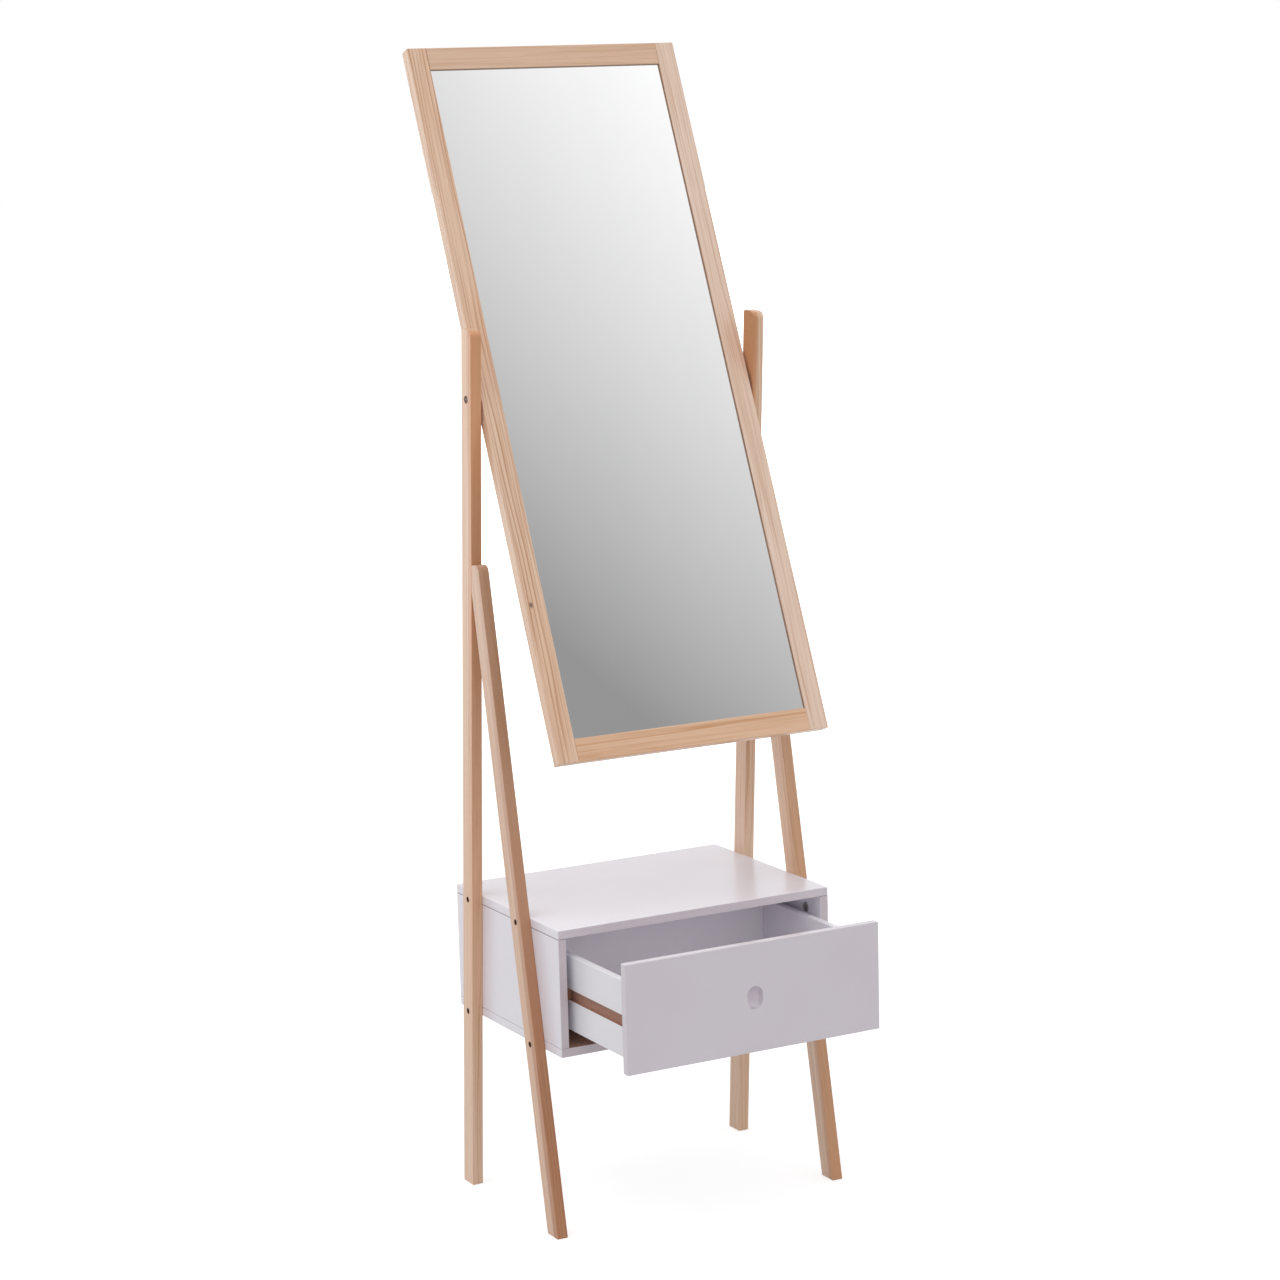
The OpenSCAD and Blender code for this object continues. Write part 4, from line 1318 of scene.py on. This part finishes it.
@dataclass
class TiltingMirror:
    """The framed glass on its pivots: two stiles, two rails between them, pane, backing, clips."""

    pivot: tuple[float, float, float] = (0.0, 72.176, 1138.0)
    tilt: float = 22.8
    half: float = 211.0
    stile: float = 30.0
    front: float = -8.0
    rear: float = 9.0
    top: float = 508.0
    bottom: float = -516.0
    top_rail: float = 32.5
    bottom_rail: float = 32.0
    lip: float = 3.0
    lip_reach: float = 0.2
    glass: float = 4.0
    backing: float = 4.0
    rebate: float = 8.0
    play: float = 0.5
    fixings: Fixings | None = None
    lip_shade: bpy.types.Material | None = None

    def place(self, side: Side | None = None) -> Place:
        """The mirror's own axes: upright about the pivot axis, then tipped back."""
        return Place(self.pivot, -self.tilt, mirrored=side is Side.LEFT)

    @property
    def opening(self) -> tuple[float, float, float]:
        """Half width, bottom and top of the opening."""
        return self.half - self.stile, self.bottom + self.bottom_rail, self.top - self.top_rail

    def upright(self, side: Side, wood: Pine) -> None:
        """A stile: a full plate in front, and behind it a plate with the rebate cut out."""
        place = self.place(side)
        x0, z0, z1 = self.opening
        floor = self.front + self.lip
        plate = rectangle((self.bottom, self.top), (x0, self.half))
        skin = board(Facing.FORWARD, plate, (self.front, floor), (1.0, 1.0, 1.3, 1.3), (1.0, 0.0))
        r0, r1, edge = z0 - self.rebate, z1 + self.rebate, x0 + self.rebate
        notched = ((self.bottom, x0), (r0, x0), (r0, edge), (r1, edge), (r1, x0), (self.top, x0),
                   (self.top, self.half), (self.bottom, self.half))
        radii = (1.0, 0.5, 0.5, 0.5, 0.5, 1.0, 1.3, 1.3)
        board(Facing.FORWARD, notched, (floor, self.rear), radii, (0.0, 0.8), skin=skin)

        def lip(middles: Array) -> Array:
            """The narrow edge that stands over the glass, which gets the dark painted shade."""
            x, y, z = middles.T
            return (x < x0 + self.lip_reach) & (z > z0) & (z < z1) & (y < floor)

        finish_piece(f"stile_{side.value}", skin, place, [wood.material(place), self.lip_shade], "mirror",
                     [f"mirror_{side.value}_stile"], lip)

    def rail(self, name: str, low: float, high: float, rebate_low: bool, wood: Pine) -> None:
        """A rail: its rebated section carried across between the stiles."""
        x0, floor = self.opening[0], self.front + self.lip
        if rebate_low:
            step = low + self.rebate
            knots = ((self.front, low), (floor, low), (floor, step), (self.rear, step), (self.rear, high),
                     (self.front, high))
            radii = (1.0, 0.4, 0.3, 0.8, 1.3, 1.3)
        else:
            step = high - self.rebate
            knots = ((self.front, low), (self.rear, low), (self.rear, step), (floor, step), (floor, high),
                     (self.front, high))
            radii = (1.3, 1.3, 0.8, 0.3, 0.4, 1.0)
        skin = board(Facing.SIDEWAYS, knots, (-x0, x0), radii, (0.3, 0.3))
        edge = low if rebate_low else high

        def lip(middles: Array) -> Array:
            """The narrow edge that stands over the glass, which gets the dark painted shade."""
            return (np.abs(middles[:, 2] - edge) < self.lip_reach) & (middles[:, 1] < floor)

        place = self.place()
        finish_piece(name.removeprefix("mirror_"), skin, place, [wood.material(place), self.lip_shade],
                     "mirror", [name], lip)

    def make(self) -> None:
        """Builds and dresses the mirror."""
        # The dark brown wood on the lip is painted shade of the rebate over the glass.
        self.lip_shade = Pine("lip_painted_shade_wood", early=(0.42, 0.25, 0.16), late=(0.25, 0.13, 0.08),
                               blush=(0.36, 0.19, 0.11), seed=2.9).material(self.place())
        self.upright(Side.LEFT, Pine("pine_stile_left", early=(0.90, 0.665, 0.50), late=(0.50, 0.22, 0.095),
                                     pith=(150, -60), seed=1.9, rings=1.0, gap=6.0,
                                     knots=((-202.5, -295.5, 4.0),)))
        self.upright(Side.RIGHT, Pine("pine_stile_right", early=(0.90, 0.705, 0.585),
                                      blush=(0.87, 0.615, 0.465), pith=(-60, 90), seed=7.3, rings=0.55))
        self.rail("mirror_top_rail", self.top - self.top_rail, self.top, True,
                  Pine("pine_rail_top", early=(0.80, 0.55, 0.395), blush=(0.75, 0.455, 0.29), rings=0.5,
                       pith=(-240, 90), seed=3.7, gap=7.0, grain=Grain.ACROSS))
        self.rail("mirror_bottom_rail", self.bottom, self.bottom + self.bottom_rail, False,
                  Pine("pine_rail_bottom", early=(0.86, 0.60, 0.42), late=(0.62, 0.29, 0.12),
                       blush=(0.80, 0.46, 0.27), pith=(200, -80), seed=9.1, rings=1.0, gap=8.0,
                       grain=Grain.ACROSS))
        reach = self.rebate - self.play
        wide, low, high = self.opening[0] + reach, self.opening[1] - reach, self.opening[2] + reach
        face = self.front + self.lip
        back = face + self.glass
        pane = block(Facing.FORWARD, (-wide, face, low), (wide, back, high), 0.6, 0.3)
        finish_piece("pane", pane, self.place(), [SilveredGlass("silvered_glass").material(self.place())],
                     "mirror", ["mirror_glass"])
        sheet = block(Facing.FORWARD, (-wide, back, low), (wide, back + self.backing, high), 0.8, 0.3)
        finish_piece("backing_board", sheet, self.place(),
                     [Fibreboard("hardboard", (0.33, 0.20, 0.13), (0.19, 0.11, 0.07)).material()],
                     "mirror", ["mirror_backing"])
        peg = Pine("frame_peg_wood", gap=1.5, rings=0.3, seed=5.0, grain=Grain.ACROSS).material(self.place())
        dress("mirror_dowels", peg)
        dress("mirror_clips", self.fixings.zinc)
        dress("clip_screws", self.fixings.steel)


# ---------------------------------------------------------------- studio


@dataclass
class Studio:
    """A white floor, a soft sky that is darker behind the viewer, one soft key light and the camera."""

    eye: tuple[float, float, float] = (-2.13746, -3.92003, 1.57083)
    right: tuple[float, float, float] = (0.87880177, -0.47639961, -0.027402)
    up: tuple[float, float, float] = (0.11135259, 0.14889316, 0.9825637)
    forward: tuple[float, float, float] = (0.46401299, 0.86653, -0.1838959)
    lens: float = 91.70
    shift: tuple[float, float] = (0.01298, 0.03199)
    sky_level: float = 0.63
    sky_slope: tuple[float, float, float] = (-0.03, -0.27, 0.16)
    sun_toward: tuple[float, float, float] = (-0.40, 0.05, 0.92)
    sun_power: float = 0.46
    floor_tone: float = 0.60
    floor_glow: float = 0.65
    horizon: float = 0.76
    floor_dim: float = 0.50

    def camera(self) -> None:
        """Sets the camera from its place and its three directions."""
        data = bpy.data.cameras.new("camera")
        data.lens, data.sensor_width = self.lens, 36.0
        data.shift_x, data.shift_y = self.shift
        data.clip_start, data.clip_end = 0.05, 200.0
        made = bpy.data.objects.new("camera", data)
        back = [-v for v in self.forward]
        rows = [(self.right[i], self.up[i], back[i], self.eye[i]) for i in range(3)]
        made.matrix_world = Matrix((*rows, (0.0, 0.0, 0.0, 1.0)))
        bpy.context.collection.objects.link(made)
        bpy.context.scene.camera = made

    def sky(self) -> None:
        """White to the eye; graded for gloss; a soft sky that is brighter to the left and above for the rest.

        For gloss the level in front is a slope in X and Z, which is what makes the glass pale at
        the top right and grey at the bottom left; it rises again to meet the floor at the horizon,
        and behind it is white, brighter to the left.
        """
        world = bpy.data.worlds.new("studio_sky")
        bpy.context.scene.world = world
        world.use_nodes = True
        tree = world.node_tree
        tree.nodes.clear()

        def node(kind: str, settings: dict | None = None, *values: object) -> Socket:
            """Adds a node, sets or joins its inputs in order, and returns its first output."""
            made = tree.nodes.new(kind)
            for key, value in (settings or {}).items():
                setattr(made, key, value)
            for i, value in enumerate(values):
                if isinstance(value, Socket):
                    tree.links.new(value, made.inputs[i])
                elif value is not None:
                    made.inputs[i].default_value = value
            return made.outputs[0]

        def slope(level: float, x_rate: float, z_rate: float, y_rate: float = 0.0) -> Socket:
            """A level that changes evenly with the direction."""
            across = node("ShaderNodeMath", {"operation": "MULTIPLY_ADD"}, x, x_rate, level)
            if y_rate:
                across = node("ShaderNodeMath", {"operation": "MULTIPLY_ADD"}, y, y_rate, across)
            return node("ShaderNodeMath", {"operation": "MULTIPLY_ADD"}, z, z_rate, across)

        def blend(factor: object, a: object, b: object) -> Socket:
            """A value between two others."""
            return node("ShaderNodeMix", {"data_type": "FLOAT"}, factor, None, a, b)

        def rise(value: object, start: float, end: float, high: float) -> Socket:
            """A value that goes softly from 0 at start to high at end."""
            smooth = {"interpolation_type": "SMOOTHSTEP"}
            return node("ShaderNodeMapRange", smooth, value, start, end, 0.0, high)

        way = tree.nodes.new("ShaderNodeSeparateXYZ")
        tree.links.new(tree.nodes.new("ShaderNodeTexCoord").outputs["Generated"], way.inputs[0])
        x, y, z = way.outputs
        ahead = node("ShaderNodeClamp", None, slope(-4.343, 5.568, 4.268), 0.31, 1.10)
        haze = rise(z, 0.44, 0.0, self.horizon)
        ahead = node("ShaderNodeMath", {"operation": "MAXIMUM"}, ahead, haze)
        behind = node("ShaderNodeClamp", None, slope(1.50, -1.0, 0.4), 1.2, 2.4)
        front = rise(y, 0.05, -0.45, 1.0)
        x_rate, y_rate, z_rate = self.sky_slope
        soft = node("ShaderNodeClamp", None, slope(self.sky_level, x_rate, z_rate, y_rate), 0.0, 2.0)
        rays = tree.nodes.new("ShaderNodeLightPath").outputs
        level = blend(rays["Is Glossy Ray"], soft, blend(front, behind, ahead))
        level = blend(rays["Is Camera Ray"], level, 1.0)
        back = node("ShaderNodeBackground", None, (1.0, 1.0, 1.0, 1.0), level)
        tree.links.new(back, tree.nodes.new("ShaderNodeOutputWorld").inputs[0])

    def sun(self) -> None:
        """A broad soft light from above and to the left."""
        data = bpy.data.lights.new("key", "SUN")
        data.energy, data.angle = self.sun_power, math.radians(40)
        made = bpy.data.objects.new("key", data)
        made.location = Vector(self.sun_toward) * 4
        made.rotation_mode = "QUATERNION"
        made.rotation_quaternion = Vector(self.sun_toward).to_track_quat("Z", "Y")
        made.visible_glossy = False
        bpy.context.collection.objects.link(made)

    def floor(self) -> None:
        """A round white floor whose glow grows outwards: rings of radius on a grid of turns."""
        radius = np.array([0.5, 1.0, 2.0, 4.0, 8.0, 16.0, 40.0])[:, None]
        turn = np.linspace(0, 2 * math.pi, 96, endpoint=False)
        x, y = radius * np.cos(turn), radius * np.sin(turn)
        upward = np.array([0.0, 0.0, 1.0])
        skin = Skin()
        grid = skin.add(np.stack([x, y, np.zeros_like(x)], axis=2), upward)
        skin.weave(grid)
        skin.fan(grid[0], np.zeros(3), upward)
        quads, tris = skin.faces()
        mesh = bpy.data.meshes.new("studio_floor")
        mesh.from_pydata(np.vstack(skin.points).tolist(), [], quads.tolist() + tris.tolist())
        made = bpy.data.objects.new("studio_floor", mesh)
        bpy.context.collection.objects.link(made)
        b = Bench("white_floor")
        cloud = b.noise(b.object_space(), 3.0, 2.0)
        tone = (self.floor_tone,) * 3
        b.colour(b.mix(cloud, tone, tuple(0.99 * v for v in tone)))
        b.gloss(Roughness=0.9, Specular_IOR_Level=0.1)
        b.gloss(Emission_Color=(1.0, 1.0, 1.0, 1.0))
        seen = b.math("SUBTRACT", 1.0, b.node("ShaderNodeLightPath").outputs["Is Diffuse Ray"])
        away = b.length(b.object_space())
        glow = b.node("ShaderNodeMapRange", Value=away, _1=1.2, _2=7.0, _3=self.floor_glow, _4=1.5).outputs[0]
        ahead = b.smooth_rise(b.part(b.object_space(), 1), 0.5, -1.5)
        ahead = b.math("MULTIPLY", ahead, b.node("ShaderNodeLightPath").outputs["Is Glossy Ray"])
        glow = b.mix(ahead, glow, (self.horizon - self.floor_dim,) * 3)
        b.feed("Emission Strength", b.math("MULTIPLY", seen, glow))
        b.material.cycles.emission_sampling = "NONE"
        mesh.materials.append(b.material)

    def make(self) -> None:
        """Sets up camera, sky, lights and floor."""
        self.camera()
        self.sky()
        self.floor()
        self.sun()
        settings = bpy.context.scene.view_settings
        settings.view_transform = "Standard"
        settings.look = "None"


def main() -> None:
    """Builds the studio, then the stand, cabinet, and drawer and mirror."""
    logging.basicConfig(level=logging.INFO, format="%(name)s: %(message)s")
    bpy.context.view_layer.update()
    Studio().make()
    fixings = Fixings.build()
    Stand(fixings=fixings).make()
    Cabinet(fixings=fixings).make()
    Drawer(fixings=fixings).make()
    TiltingMirror(fixings=fixings).make()


if __name__ == "__main__":
    main()
